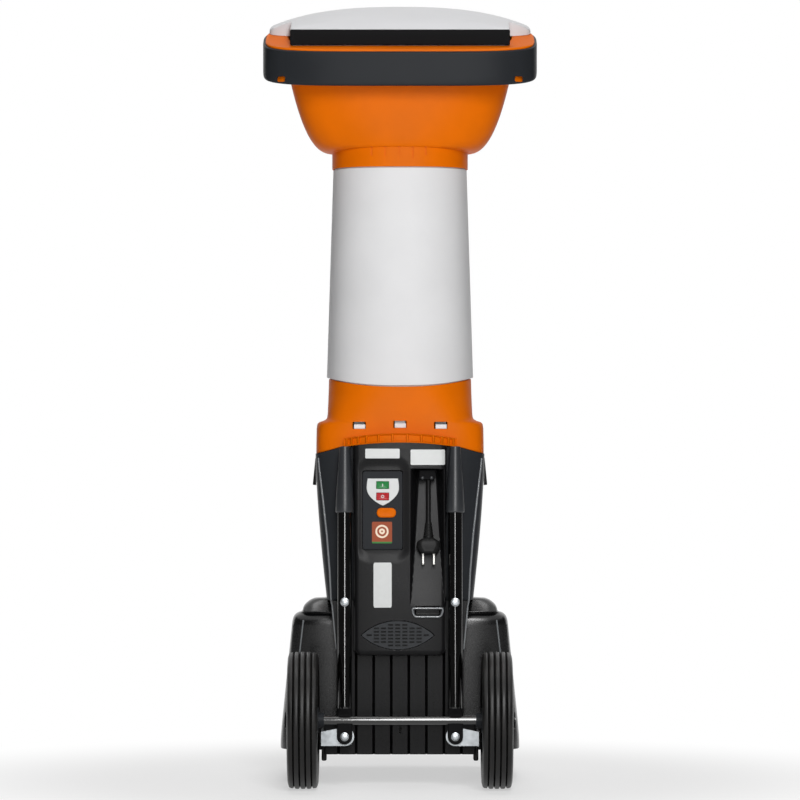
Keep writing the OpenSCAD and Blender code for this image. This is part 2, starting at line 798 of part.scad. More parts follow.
module axle_ring(x, length, d) {
    at_axle() pair() difference() {
        bar_x(x, length, d);
        bar_x(x - 1, length + 2, axle_d + 2 * run);
    }
}

module axle_spacers() {
    color(charcoal) axle_ring(wheel_in - seat - 9, 9, axle_d + 10);
}

module axle_caps() {
    color(steel) axle_ring(wheel_out + seat, cap_t, axle_d + 14);
}

tread_ribs = 5;
tread_groove = 4;

// Half section of the tyre: flank, rounded shoulder and ribbed tread, from the inner to the outer side
function tread(w) =
    let (pitch = w / tread_ribs, r = wheel_d / 2)
    [for (i = [0:tread_ribs - 1])
        let (x = pitch * (i - (tread_ribs - 1) / 2), low = abs(x) > 1.5 * pitch ? 3 : 0, h = pitch / 2)
        each [[r - groove_depth, x - h + tread_groove / 2], [r - low - 1, x - h + tread_groove / 2 + 0.5],
              [r - low, x - 1], [r - low, x + 1],
              [r - low - 1, x + h - tread_groove / 2 - 0.5], [r - groove_depth, x + h - tread_groove / 2]]];

module tyre() {
    w = wheel_w;
    bead = rim_d / 2 + seat / 2;
    translate([track / 2, -axle_back, axle_z]) rotate([0, 90, 0]) rotate_extrude($fn = 96)
        polygon(concat([[bead, w / 2 - 10], [bead, 10 - w / 2], [bead + 8, 4 - w / 2],
            [wheel_d / 2 - 16, -w / 2], [wheel_d / 2 - 8, 0.5 - w / 2]],
            tread(w - 1),
            [[wheel_d / 2 - 8, w / 2 - 0.5], [wheel_d / 2 - 16, w / 2], [bead + 8, w / 2 - 4]]));
}

module left_tyre() {
    color(rubber) mirror([1, 0, 0]) tyre();
}

module right_tyre() {
    color(rubber) tyre();
}

spokes = 6;
bed_t = 8;
flange_w = 11;
web_half = 5;

module rim() {
    bed = rim_d / 2;
    inner = bed - bed_t;
    half = wheel_w / 2;
    gap_r = (inner + hub_d / 2) / 2;
    gap_d = inner - hub_d / 2 - web_half;
    translate([track / 2, -axle_back, axle_z]) rotate([0, 90, 0]) difference() {
        rotate_extrude($fn = 96) polygon([[axle_d / 2 + run, -half], [hub_d / 2, -half],
            [hub_d / 2, -web_half], [inner, -web_half], [inner, flange_w + 1 - half], [bed, flange_w - half],
            [bed, half - flange_w], [inner, half - flange_w - 1], [inner, web_half], [hub_d / 2, web_half],
            [hub_d / 2, half], [axle_d / 2 + run, half]]);
        for (i = [0:spokes - 1]) rotate(i * 360 / spokes) translate([gap_r, 0, -half])
            cylinder(d = gap_d, h = wheel_w);
    }
}

module left_rim() {
    color(charcoal) mirror([1, 0, 0]) rim();
}

module right_rim() {
    color(charcoal) rim();
}

// Locking knob: a flat round grip with a thumb bar and a stem through the front shell
module knob() {
    face = body_sec(knob_z)[0] + knob_gap;
    stem_l = knob_gap + 2 * wall;
    grip = 0.76 * knob_d;
    translate([0, 0, knob_z]) {
        bar_x(face, knob_t, knob_d);
        bar_x(face - stem_l, stem_l, knob_stem_d);
        translate([face + knob_t, -grip / 2, -2 * knob_bar]) cube([knob_bar, grip, 4 * knob_bar]);
    }
}

module left_knob() {
    color(black) mirror([1, 0, 0]) knob();
}

module right_knob() {
    color(black) knob();
}

// Rear cover: a box open towards the body, with the switch recess, the cable bay and the vent window
cover_top = body_top + cover_rise;
recess_w = 70;
recess_h = 138;
recess_x = -30.5;
recess_z = body_top - 99;
recess_depth = 8;
panel_t = 3;
bay_left = 20;
bay_right = cover_half - 3;
bay_back = cover_back + wall;
ramp_a = atan((cover_face - bay_back) / (bay_top - bay_low));
vent_x = -4;
vent_z = cover_low + 36;
vent_l = 128;
vent_h = 50;
loop_x = 48.5;
loop_z = bay_low - 10;
loop_w = 55;
loop_h = 19;
loop_t = 4;

// A lens between two equal arcs
module lens(l, h) {
    r = (l * l + h * h) / (4 * h);
    intersection() {
        translate([0, r - h / 2]) circle(r);
        translate([0, h / 2 - r]) circle(r);
    }
}

// A prism along x whose section is drawn in y and z
module prism_x(x, length, section) {
    translate([x, 0, 0]) rotate([90, 0, 90]) linear_extrude(length) polygon(section);
}

module rear_cover() {
    h = cover_top - cover_low;
    depth = cover_face - cover_back;
    inner = panel_t + recess_depth;
    color(black) difference() {
        union() {
            difference() {
                upright(-cover_back, depth) translate([0, cover_low + h / 2])
                    rounded_rect(2 * cover_half, h, 14);
                upright(-cover_back + 1, depth - wall + 1) translate([0, cover_low + h / 2])
                    rounded_rect(2 * (cover_half - wall), h - 2 * wall, 10);
            }
            prism_x(bay_left - wall, bay_right - bay_left + wall + 1,
                [[-cover_face, bay_low - 9], [wall - cover_face, bay_low - 9], [-cover_back, bay_top],
                 [-cover_back, bay_top + wall], [-cover_face, bay_top + wall]]);
            upright(inner - cover_face, inner) translate([recess_x, recess_z])
                square([recess_w + 2 * wall, recess_h + 2 * wall], center = true);
        }
        prism_x(bay_left, bay_right - bay_left,
            [[-cover_face - 1, bay_low], [-cover_face, bay_low], [-bay_back, bay_top],
             [-cover_face - 1, bay_top]]);
        upright(inner - cover_face + 1, inner + 2) translate([recess_x, recess_z])
            rounded_rect(recess_w, recess_h, 4);
        upright(wall - cover_face + 8, wall + 9) translate([loop_x, loop_z])
            square([loop_w - 4 * loop_t, loop_h - 2 * loop_t], center = true);
        upright(wall - cover_face + 1, wall + 2) translate([vent_x, vent_z]) lens(vent_l, vent_h);
    }
}

// Lens-shaped grille with rows of slots
slot_w = 9;
slot_h = 3.2;
slot_pitch = 12.5;
row_pitch = 6;

module vent_grille() {
    l = vent_l - 4 * seat;
    h = vent_h - 2 * seat;
    r = (l * l + h * h) / (4 * h);
    color(black) upright(wall - cover_face, wall) translate([vent_x, vent_z]) difference() {
        lens(l, h);
        for (row = [-3:3]) {
            z = row * row_pitch;
            reach = sqrt(r * r - pow(abs(z) + slot_h / 2 + r - h / 2, 2));
            count = floor((reach - 2 - slot_w / 2) / slot_pitch);
            for (i = [-count:count]) translate([i * slot_pitch, z]) square([slot_w, slot_h], center = true);
        }
    }
}

// Controls in the recess
button_gap = 0.4;
button_x = recess_x;
start_z = recess_z + 44.5;
stop_z = recess_z + 24.5;
slider_x = recess_x + 6.5;
slider_z = recess_z - 4;
stem_w = 10;
stem_h = 6;
stem_x = slider_x - slider_w / 2 + stem_w / 2 + 3;
panel_face = recess_depth - cover_face;
shield_t = 1.5;

module button_hole(z) {
    translate([button_x, z]) square([button_w + 2 * button_gap, button_h + 2 * button_gap], center = true);
}

module switch_panel() {
    slot = stem_w + slider_travel + 2 * button_gap;
    color(black) upright(panel_face + panel_t, panel_t) difference() {
        translate([recess_x, recess_z]) rounded_rect(recess_w - 2 * seat, recess_h - 2 * seat, 4);
        button_hole(start_z);
        button_hole(stop_z);
        translate([stem_x + stem_w / 2 + button_gap - slot, slider_z - stem_h / 2 - button_gap])
            square([slot, stem_h + 2 * button_gap]);
    }
}

// Shield-shaped plate: straight top, sides drawn in to a round point
shield_w = 57;
shield_h = 48;

function shield_half(t) = shield_w / 2 * pow(1 - pow(t, 2.8), 0.62);

module switch_shield() {
    top = start_z + button_h / 2 + 5;
    steps = 16;
    right = [for (i = [0:steps]) [button_x + shield_half(i / steps), top - shield_h * i / steps]];
    left = [for (i = [steps - 1:-1:0]) [button_x - shield_half(i / steps), top - shield_h * i / steps]];
    color(white) upright(panel_face, shield_t) difference() {
        polygon(concat(right, left));
        button_hole(start_z);
        button_hole(stop_z);
    }
}

module button(z) {
    upright(panel_face + panel_t + 3, panel_t + shield_t + 5) translate([button_x, z])
        square([button_w, button_h], center = true);
}

module start_button() {
    color(green) button(start_z);
}

module stop_button() {
    color(red) button(stop_z);
}

module direction_slider() {
    cap_t = 5;
    color(orange) upright(panel_face - seat, cap_t) translate([slider_x, slider_z])
        rounded_rect(slider_w, slider_h, 6);
    color(orange) upright(panel_face + panel_t + 3, panel_t + 4) translate([stem_x, slider_z])
        square([stem_w, stem_h], center = true);
}

module switch_box() {
    box_wall = 3;
    box_w = recess_w - 4;
    box_h = recess_h - 14;
    room = box_wall + button_travel + 1;
    back = panel_face + panel_t;
    depth = cover_depth - recess_depth - panel_t - box_wall;
    color(black) difference() {
        translate([recess_x - box_w / 2, back, recess_z - box_h / 2]) cube([box_w, depth, box_h]);
        translate([recess_x - box_w / 2 + box_wall, back - 1, recess_z - box_h / 2 + box_wall])
            cube([box_w - 2 * box_wall, room + 1, box_h - 2 * box_wall]);
    }
}

// Cable bay: clamp, cord, plug with its pins, and the loop below
cord_route = [[50, -154, 540], [50, -154, 530], [50, -154.6, 521], [50, -155.8, 512], [50, -157.2, 503],
    [50, -158.6, 494], [50, -160, 485], [50, -161.5, 476], [50, -163, 467]];
cord_start = cord_route[0];
cord_end = cord_route[len(cord_route) - 1];
CORD_SIDES = 10;

// Direction of the route at point i, in the upright plane that it hangs in
function route_dir(i) =
    let (last = len(cord_route) - 1, v = i == 0 ? [0, 0, -1]
        : i == last ? [0, -sin(ramp_a), -cos(ramp_a)] : cord_route[i + 1] - cord_route[i - 1])
    v / norm(v);

module mains_cord() {
    color(cord_black) skin([for (i = [0:len(cord_route) - 1]) let (d = route_dir(i), b = [0, d.z, -d.y])
        [for (j = [0:CORD_SIDES - 1]) let (a = 360 * j / CORD_SIDES)
            cord_route[i] + cord_d / 2 * (cos(a) * [1, 0, 0] + sin(a) * b)]]);
}

// Distance of the clamped cord's middle from the bay's back wall
clamp_gap = 20;

module cord_clamp() {
    clamp_w = 30;
    clamp_d = 15;
    clamp_y = -bay_back - clamp_gap - clamp_d / 2;
    color(black) translate([cord_start.x - clamp_w / 2, clamp_y, cord_start.z])
        cube([clamp_w, clamp_d, bay_top - cord_start.z]);
    color(black) for (x = [-9, 9]) translate([cord_start.x + x, clamp_y, cord_start.z + 5])
        rotate([90, 0, 0]) cylinder(d = 7, h = 3);
}

relief_l = 33;
plug_h = 24;
plug_w = 42;
pin_l = 19;

module plug_frame() {
    translate(cord_end) rotate([-ramp_a, 0, 0]) children();
}

module plug_body() {
    color(cord_black) plug_frame() difference() {
        union() {
            translate([0, 0, -relief_l]) cylinder(d1 = plug_w / 2 - 1, d2 = cord_d + 1.5, h = relief_l);
            translate([0, plug_t / 2, 0]) rotate([90, 0, 0]) linear_extrude(plug_t) polygon([
                [-plug_w / 2 + 5, -relief_l + 1], [plug_w / 2 - 5, -relief_l + 1],
                [plug_w / 2, -relief_l - 4],
                [plug_w / 2, -relief_l - 11], [plug_w / 2 - 5, -relief_l - plug_h],
                [5 - plug_w / 2, -relief_l - plug_h], [-plug_w / 2, -relief_l - 11],
                [-plug_w / 2, -relief_l - 4]]);
        }
        for (x = [-1, 1]) translate([x * pin_pitch / 2, 0, -relief_l - plug_h - 1])
            cylinder(d = pin_d + 2 * run, h = 9);
    }
}

module plug_pins() {
    tip_z = -relief_l - plug_h - pin_l;
    color(steel) plug_frame() for (x = [-1, 1]) translate([x * pin_pitch / 2, 0, tip_z]) {
        translate([0, 0, 1]) cylinder(d = pin_d, h = pin_l + 7);
        cylinder(d1 = pin_d - 1.6, d2 = pin_d, h = 1);
    }
}

module cord_loop() {
    top = loop_w / 2;
    low = loop_w / 2 - 5;
    h = loop_h / 2;
    color(charcoal) upright(-cover_face, 6) translate([loop_x, loop_z]) difference() {
        polygon([[-top, h], [-low, -h], [low, -h], [top, h]]);
        polygon([[loop_t - top, h - loop_t], [loop_t - low + 0.5, loop_t - h],
            [low - loop_t - 0.5, loop_t - h], [top - loop_t, h - loop_t]]);
    }
}

// Cutting unit and motor, on the tower's middle line
plate_t = 6;
chamber_h = 68;
plate_z = body_top - chamber_h - plate_t;
plate_top = plate_z + plate_t;
disc_z = plate_top + 27;
disc_t = 5;
chute_half = 50;
chute_gap = 7;
chute_near = can_d / 2 + chute_gap;
chute_far = chamber_d / 2 - chute_gap - 2;
chute_wall = 3;
hub_h = 18;
can_h = 160;
can_low = plate_z - can_h;
can_wall = 3;
can_bore = can_d - 2 * can_wall;
core_d = 90;
air_gap = 0.5;
core_z = can_low + 33;
core_h = 85;
bearing_h = 12;
shaft_low = can_low - 20;

module bearing_seat(z, h) {
    translate([0, 0, z]) cylinder(d = bearing_d + 2 * run, h = h);
}

module motor_plate() {
    color(cast_grey) difference() {
        union() {
            translate([0, 0, plate_z]) linear_extrude(plate_t)
                polygon(outline(inset(body_sec(plate_z), wall + seat)));
            translate([0, 0, plate_top - hub_h]) cylinder(d = bearing_d + 14, h = hub_h - 1);
        }
        bearing_seat(plate_top - hub_h - 1, bearing_h + 3);
        translate([0, 0, plate_z - 1]) cylinder(d = shaft_d + 4, h = plate_t + 2);
        translate([chute_wall - chute_half, chute_near + chute_wall, plate_z - 1])
            cube([2 * (chute_half - chute_wall), chute_far - chute_near - 2 * chute_wall, plate_t + 2]);
    }
}

module cutting_chamber() {
    color(steel) translate([0, 0, plate_top]) pipe(chamber_d + 2 * wall, chamber_d, chamber_h);
}

module counter_knife() {
    z = disc_z + disc_t + 7;
    color(steel) translate([chamber_d / 2 - 61, -8, z]) cube([60, 16, 9]);
}

module discharge_chute() {
    low = arch_z + 12;
    color(charcoal) difference() {
        translate([-chute_half, chute_near, low])
            cube([2 * chute_half, chute_far - chute_near, plate_z - low]);
        translate([chute_wall - chute_half, chute_near + chute_wall, low - 1])
            cube([2 * (chute_half - chute_wall), chute_far - chute_near - 2 * chute_wall, plate_z - low + 2]);
    }
}

module motor_can() {
    color(cast_grey) translate([0, 0, can_low]) pipe(can_d, can_bore, can_h);
}

module stator_core() {
    color(core_grey) translate([0, 0, core_z]) pipe(can_bore - 2 * run, core_d, core_h);
}

module stator_windings() {
    color(copper) for (z = [core_z - 14, core_z + core_h])
        translate([0, 0, z]) pipe(can_bore - 12, core_d + 8, 14);
}

module end_shield() {
    color(cast_grey) translate([0, 0, can_low]) difference() {
        cylinder(d = can_bore - 2 * run, h = bearing_h + 4);
        translate([0, 0, -1]) cylinder(d = shaft_d + 4, h = bearing_h + 6);
        translate([0, 0, 4]) cylinder(d = bearing_d + 2 * run, h = bearing_h + 1);
    }
}

module bearing(z) {
    translate([0, 0, z]) pipe(bearing_d, shaft_d + 2 * run, bearing_h);
}

module upper_bearing() {
    color(steel) bearing(plate_top - hub_h + 1);
}

module lower_bearing() {
    color(steel) bearing(can_low + 4);
}

capacitor_d = 36;

module capacitor() {
    x = -62;
    low = can_low + 12;
    y = rear_y(inset(body_sec(low), wall), abs(x) + 4) + capacitor_d / 2 + seat;
    color(lid_grey) translate([x, y, low]) cylinder(d = capacitor_d, h = 90);
}

module rotor_shaft() {
    color(steel) translate([0, 0, shaft_low]) cylinder(d = shaft_d, h = disc_z + disc_t - shaft_low);
}

module rotor_core() {
    color(core_grey) translate([0, 0, core_z]) pipe(core_d - 2 * air_gap, shaft_d + 2 * run, core_h);
}

module cooling_fan() {
    fan_d = can_d - 26;
    fan_h = 14;
    blades = 8;
    color(black) translate([0, 0, shaft_low + 2]) {
        pipe(shaft_d + 14, shaft_d + 2 * run, fan_h);
        difference() {
            union() {
                cylinder(d = fan_d, h = 2);
                for (i = [0:blades - 1]) rotate(i * 360 / blades)
                    translate([shaft_d / 2 + 5, -1, 0]) cube([fan_d / 2 - shaft_d / 2 - 7, 2, fan_h]);
            }
            translate([0, 0, -1]) cylinder(d = shaft_d + 2 * run, h = fan_h + 2);
        }
    }
}

module blade_disc() {
    color(steel) translate([0, 0, disc_z]) pipe(disc_d, shaft_d + 2 * run, disc_t);
}

knife_l = 62;
knife_w = 26;
knife_t = 5;
knife_hole = 7;
hole_end = 14;

module knives() {
    start = disc_d / 2 - 6 - knife_l;
    color(zinc) for (a = [0, 180]) rotate(a) translate([start, 10, disc_z + disc_t]) difference() {
        rotate([90, 0, 90]) linear_extrude(knife_l)
            polygon([[0, 0], [knife_w, 0], [knife_w, knife_t], [knife_t, knife_t]]);
        for (x = [hole_end, knife_l - hole_end])
            translate([x, (knife_w + knife_t) / 2 + 1.5, -1]) cylinder(d = knife_hole, h = knife_t + 2);
    }
}

module thrower_wings() {
    wing_h = 20;
    color(steel) for (a = [45:90:315]) rotate(a) translate([30, -2, disc_z - wing_h])
        cube([disc_d / 2 - 36, 4, wing_h]);
}

module blade_screw() {
    color(zinc) translate([0, 0, disc_z + disc_t]) {
        cylinder(d = shaft_d * 2.2, h = 4);
        translate([0, 0, 4]) cylinder(d = shaft_d * 1.4, h = 10, $fn = 6);
    }
}

hopper_bowl();
hopper_collar();
lid();
lid_lip();
lid_hinge();
hinge_bracket();
hinge_pins();
feed_tube();
shroud();
inlet_plate();
front_housing();
rear_housing();
rear_cover();
vent_grille();
rear_panel();
foot_housing();
front_feet();
motor_plate();
cutting_chamber();
counter_knife();
discharge_chute();
motor_can();
stator_core();
stator_windings();
end_shield();
upper_bearing();
lower_bearing();
capacitor();
switch_box();
rotor_shaft();
rotor_core();
cooling_fan();
blade_disc();
knives();
thrower_wings();
blade_screw();
left_leg();
right_leg();
axle();
leg_bolts();
stay_brackets();
axle_spacers();
axle_caps();
left_tyre();
right_tyre();
left_rim();
right_rim();
left_knob();
right_knob();
switch_panel();
switch_shield();
start_button();
stop_button();
direction_slider();
cord_clamp();
cord_loop();
mains_cord();
plug_body();
plug_pins();
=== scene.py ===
"""Garden shredder: its visible surfaces, finishes and stage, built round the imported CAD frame."""

import math

import bpy
import numpy as np
from bpy.props import FloatProperty, FloatVectorProperty, IntProperty, PointerProperty
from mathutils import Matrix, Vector


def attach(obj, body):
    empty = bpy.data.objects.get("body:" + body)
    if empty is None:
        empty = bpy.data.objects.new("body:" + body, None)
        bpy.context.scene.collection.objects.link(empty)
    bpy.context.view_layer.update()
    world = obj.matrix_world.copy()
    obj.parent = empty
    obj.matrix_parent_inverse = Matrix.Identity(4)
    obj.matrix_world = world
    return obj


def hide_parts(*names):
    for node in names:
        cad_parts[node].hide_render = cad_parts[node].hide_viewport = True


bl_info = {
    "name": "Garden shredder",
    "version": (1, 0, 0),
    "blender": (4, 5, 0),
    "location": "3D View > Sidebar > Shredder",
    "description": "Surfaces, finishes and stage of a garden shredder with an inclined, lidded hopper",
    "category": "Object",
}

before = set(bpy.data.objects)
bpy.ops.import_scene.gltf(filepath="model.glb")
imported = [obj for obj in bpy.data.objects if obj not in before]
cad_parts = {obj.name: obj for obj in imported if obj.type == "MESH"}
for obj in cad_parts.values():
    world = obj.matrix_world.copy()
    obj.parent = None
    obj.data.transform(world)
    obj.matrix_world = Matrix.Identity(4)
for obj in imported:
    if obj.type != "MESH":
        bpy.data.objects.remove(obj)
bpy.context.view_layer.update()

# Lengths in the shape functions are millimetres, as on the part's drawing.
MM = 0.001

# Heights of the main seams, from the foot's deck up to the collar's lower edge
DECK_Z, BODY_TOP, SHROUD_TOP, TUBE_TOP = 327, 586, 718.5, 1092
NECK_Z, BOWL_LOW, RIM_LOW = TUBE_TOP + 1.8, 1122.5, 1232
# Heights above the collar's lower edge, and the slope on which they stand
COLLAR_H, RIM_TOP, LID_BASE = 60, 64, 64.3
RIM_SLOPE = math.tan(math.radians(16))
# Walls of the mouldings, play at their seats and open seams, and the dip or arch of the round seams
WALL, SEAT, SEAM = 4, 0.3, 0.4
TUBE_DIP, NECK_ARCH, CREASE_ARCH = 13.7, 0.4, 6.5
# Wheels, legs and locking knobs
AXLE_Z, AXLE_Y, TRACK = 120, -190, 339
LEG_X, LEG_LEAN, LEG_BOLT_Z = 97, math.radians(3.6), 206.5
KNOB_Z, KNOB_R = 553, 25
# The shroud's windows along x, and the height at which its face is taken for them
WINDOWS, WINDOW_Z = (-72, 0, 72), 636
# The rear cover's face and back, the switch panel's face, and its buttons
COVER_FACE, COVER_BACK, PANEL_Y = -172, -130.0, -164.0
BUTTON_X, START_Z, STOP_Z = -30.5, 531.5, 511.5
# Edges that turn by more than this stay sharp
SHARP = math.radians(42)

# Outlines: half width, reach to the rear and to the front, y of the widest place, rear and front exponents
RIM = (243, 168, 108, -60, 4.5, 2.2)
MOUTH = (202, 126, 62, -36, 4, 2.3)
BOWL = (199, 124, 64, -36, 3.6, 2.3)
NECK = (121.5, 113.5, 113.5, 0, 2.6, 2.6)
TUBE_HIGH = (119.4, 113, 113, 0, 2.6, 2.6)
TUBE_LOW = (131, 122, 122, 0, 2.5, 2.5)
SHROUD_NECK = (127.3, 121, 121, 0, 2.5, 2.5)
SHROUD_LOW = (149, 128, 148, -30, 6, 2.4)
BODY_LOW = (130, 122, 140, -30, 8, 2.4)
BODY_HIGH = (150, 129.7, 150, -30, 8, 2.4)
LID = (233, 133, 82, -30, 5, 2.3)
FOOT_LOW = (214, 58, 328, 60, 8, 3)
FOOT_HIGH = (193, 58, 302, 60, 8, 3)
TIER_LOW = (175, 56, 284, 60, 14, 3)
TIER_MIDDLE = (172, 45, 274, 60, 14, 3)
TIER_HIGH = (156, 31, 262, 60, 14, 3)
DECK_OPENING = (120, 20, 131, 0, 4, 2.4)

# Fields of the rear cover: x and z of the middle, width, height, corner radius
COVER = (0, 431, 163, 398, 14)
DISH = (-30.5, 487, 84, 168, 20)
RECESS = (-30.5, 487, 70, 138, 4)
LOOP_POCKET = (48.5, 310.5, 43, 15, 2)

# The cord's route, as on the drawing, from its clamp to its plug
CORD = np.array([(50, -154, 540), (50, -154, 530), (50, -154.6, 521), (50, -155.8, 512), (50, -157.2, 503),
                 (50, -158.6, 494), (50, -160, 485), (50, -161.5, 476), (50, -163, 467)], float)
CORD_D = 8.5


def linear(code):
    """An sRGB hex colour as the linear RGBA that shaders take."""
    srgb = np.array([int(code[i:i + 2], 16) for i in (1, 3, 5)]) / 255
    value = np.where(srgb <= 0.04045, srgb / 12.92, ((srgb + 0.055) / 1.055) ** 2.4)
    return (*value.tolist(), 1.0)


def colour(name, code, where):
    """A colour property whose default is an sRGB hex colour."""
    return FloatVectorProperty(name=name, description=where, default=linear(code)[:3], subtype="COLOR",
                               min=0, max=1)


def length(name, millimetres, what):
    """A length property whose default is given in millimetres."""
    return FloatProperty(name=name, description=what, default=millimetres * MM, min=0, unit="LENGTH",
                         subtype="DISTANCE")


def count(name, number, what, low, high):
    """A property for a number of repeats."""
    return IntProperty(name=name, description=what, default=number, min=low, max=high)


class ShredderColours(bpy.types.PropertyGroup):
    """Colours of the mouldings and the printed pieces."""

    orange: colour("Orange", "#DE6A00", "Bowl, rim, shroud, brow and direction slider")
    tube: colour("Tube", "#DADADB", "Feed tube")
    lid: colour("Lid", "#D8D8DA", "Lid and its hinge arms")
    charcoal: colour("Charcoal", "#27292C", "Collar, body shells, sleeves, grille, switch panel and rims")
    black: colour("Black", "#131314", "Rear cover, rear panel, knobs and small mouldings")
    rubber: colour("Rubber", "#101010", "Tyres, feet, cord and plug")
    enamel: colour("Enamel", "#030303", "Legs and axle")
    go: colour("Start", "#0E7A36", "Start button")
    halt: colour("Stop", "#B00C1A", "Stop button")
    plate: colour("Plate", "#CFD1D0", "Bare plates, switch shield and the marks on the buttons")
    bark: colour("Bark", "#9A4A2C", "Ground of the picture plate")
    wood: colour("Wood", "#F3DFC8", "Rings on the picture plate")


class ShredderSizes(bpy.types.PropertyGroup):
    """Sizes that only the looks have."""

    lip_round: length("Lip edge", 2.0, "Radius of the lid lip's edges")
    rim_round: length("Rim edge", 5.0, "Radius of the rim's upper edge")
    collar_round: length("Collar edge", 7.0, "Radius of the collar's lower edge")
    groove_width: length("Panel groove", 4.8, "Width of the rear panel's grooves")
    groove_depth: length("Panel groove depth", 8.0, "Depth of the rear panel's grooves")
    tread_depth: length("Tread depth", 5.0, "Depth of the tread's grooves")
    bolt_head: length("Bolt head", 13.0, "Diameter of the leg bolts' heads")
    plate_thickness: length("Plate", 0.4, "Thickness of the bare plates")
    knob_ribs: count("Knob ribs", 28, "Grip ribs round each locking knob", 6, 60)
    tread_ribs: count("Tread ribs", 5, "Ribs side by side on each tyre", 3, 9)


def outline(section, n=360):
    """A closed outline of n points: |x/a|^e + |(y-m)/b|^e = 1, with its own b and e for its front and its
    rear half. Each half has half of the points, at equal steps of arc, from +x over the front to -x and
    back over the rear."""
    a, rear, front, m, e_rear, e_front = section
    t = np.pi / 2 * (1 - np.cos(np.linspace(0, np.pi, 1200)))
    halves = []
    for side, b, e in ((1, front - m, e_front), (-1, rear + m, e_rear)):
        x = side * a * np.sign(np.cos(t)) * np.abs(np.cos(t)) ** (2 / e)
        y = m + side * b * np.abs(np.sin(t)) ** (2 / e)
        arc = np.concatenate([[0], np.cumsum(np.hypot(np.diff(x), np.diff(y)))])
        at = np.linspace(0, arc[-1], n // 2, endpoint=False)
        halves.append(np.stack([np.interp(at, arc, x), np.interp(at, arc, y)], -1))
    return np.concatenate(halves)


def inset(section, t):
    """The outline drawn in by t all round."""
    return (section[0] - t, section[1] - t, section[2] - t, *section[3:])


def mixed(low, high, w):
    """The outline that lies the share w of the way from one to another."""
    return tuple(p + (q - p) * w for p, q in zip(low, high))


def rear_y(section, x):
    """The y of an outline's rear edge at x."""
    a, rear, _, m, e, _ = section
    return m - (rear + m) * np.maximum(1 - np.abs(np.asarray(x, float) / a) ** e, 0) ** (1 / e)


def raised(xy, z):
    """Flat points lifted to the height z, one for all or one for each."""
    return np.concatenate([xy, np.broadcast_to(np.reshape(z, (-1, 1)), (len(xy), 1))], -1)


def level(section, z):
    """An outline at the height z."""
    return raised(outline(section), z)


def dipped(section, z, dip):
    """An outline whose height is z - dip * (|y-m|/b)^e: it drops by dip at the rear and the front."""
    xy = outline(section)
    rear = xy[:, 1] < section[3]
    reach = np.where(rear, section[1] + section[3], section[2] - section[3])
    e = np.where(rear, section[4], section[5])
    return raised(xy, z - dip * (np.abs(xy[:, 1] - section[3]) / reach) ** e)


def rim_plane(y, h):
    """Height of the inclined rim plane over y, h above the collar's lower edge."""
    return RIM_LOW + (y + RIM[1]) * RIM_SLOPE + h


def inclined(section, h, n=360):
    """An outline laid on the inclined rim plane."""
    xy = outline(section, n)
    return raised(xy, rim_plane(xy[:, 1], h))


def ease(t):
    """Smooth step from 0 to 1: 3t^2 - 2t^3."""
    t = np.clip(t, 0, 1)
    return t * t * (3 - 2 * t)


def softened(rings, radii, steps=5, closed=False):
    """Rings with each corner of their profile rounded: the corner P becomes (1-t)^2 A + 2t(1-t) P + t^2 B,
    where A and B lie the corner's radius away from it on its two edges, at most half way along them."""
    rings = [np.asarray(ring, float) for ring in rings]
    t = np.linspace(0, 1, steps + 1)[:, None, None]
    out = []
    for i, (corner, radius) in enumerate(zip(rings, radii)):
        if not radius or (not closed and i in (0, len(rings) - 1)):
            out.append(corner[None])
            continue
        ends = []
        for other in (rings[i - 1], rings[(i + 1) % len(rings)]):
            edge = other - corner
            size = np.linalg.norm(edge, axis=-1, keepdims=True)
            ends.append(corner + edge * np.minimum(radius / np.maximum(size, 1e-6), 0.5))
        out.append((1 - t) ** 2 * ends[0] + 2 * t * (1 - t) * corner + t ** 2 * ends[1])
    return np.concatenate(out)


def quads_over(rows, columns, close_rows=False, close_columns=False):
    """Quads over a grid numbered row by row; a closed direction joins its last line to its first."""
    i, j = np.meshgrid(np.arange(rows - (not close_rows)), np.arange(columns - (not close_columns)),
                       indexing="ij")
    k, l = (i + 1) % rows, (j + 1) % columns
    return np.stack([i * columns + j, i * columns + l, k * columns + l, k * columns + j], -1).reshape(-1, 4)


def skinned(rings, closed=False):
    """Points and faces of a skin over closed rings. A closed skin joins its last ring to its first, as a
    wall does; an open one gets a fan of triangles to the middle of each end ring."""
    rings = np.asarray(rings, float)
    rows, columns = rings.shape[:2]
    points = rings.reshape(-1, 3)
    faces = quads_over(rows, columns, closed, True).tolist()
    if closed:
        return points, faces
    j = np.arange(columns)
    for ring, turn in ((0, 1), (rows - 1, -1)):
        centre = len(points)
        points = np.concatenate([points, rings[ring].mean(0)[None]])
        fan = np.stack([ring * columns + j, np.full(columns, centre), ring * columns + (j + 1) % columns], -1)
        faces += fan[:, ::turn].tolist()
    return points, faces


def walled(rings, radii, steps=5):
    """A wall that closes on itself, over rings whose corners are rounded."""
    return skinned(softened(rings, radii, steps, closed=True), closed=True)


def joined(*shapes):
    """Several shapes' points and faces as one."""
    points, faces, start = [], [], 0
    for p, f in shapes:
        points.append(p)
        faces += [[i + start for i in face] for face in f]
        start += len(p)
    return np.concatenate(points), faces


def mirrored(points, faces):
    """The shape's other hand, with its faces turned back outwards."""
    return points * [-1, 1, 1], [face[::-1] for face in faces]


def paired(points, faces):
    """Both hands of a shape."""
    return joined((points, faces), mirrored(points, faces))


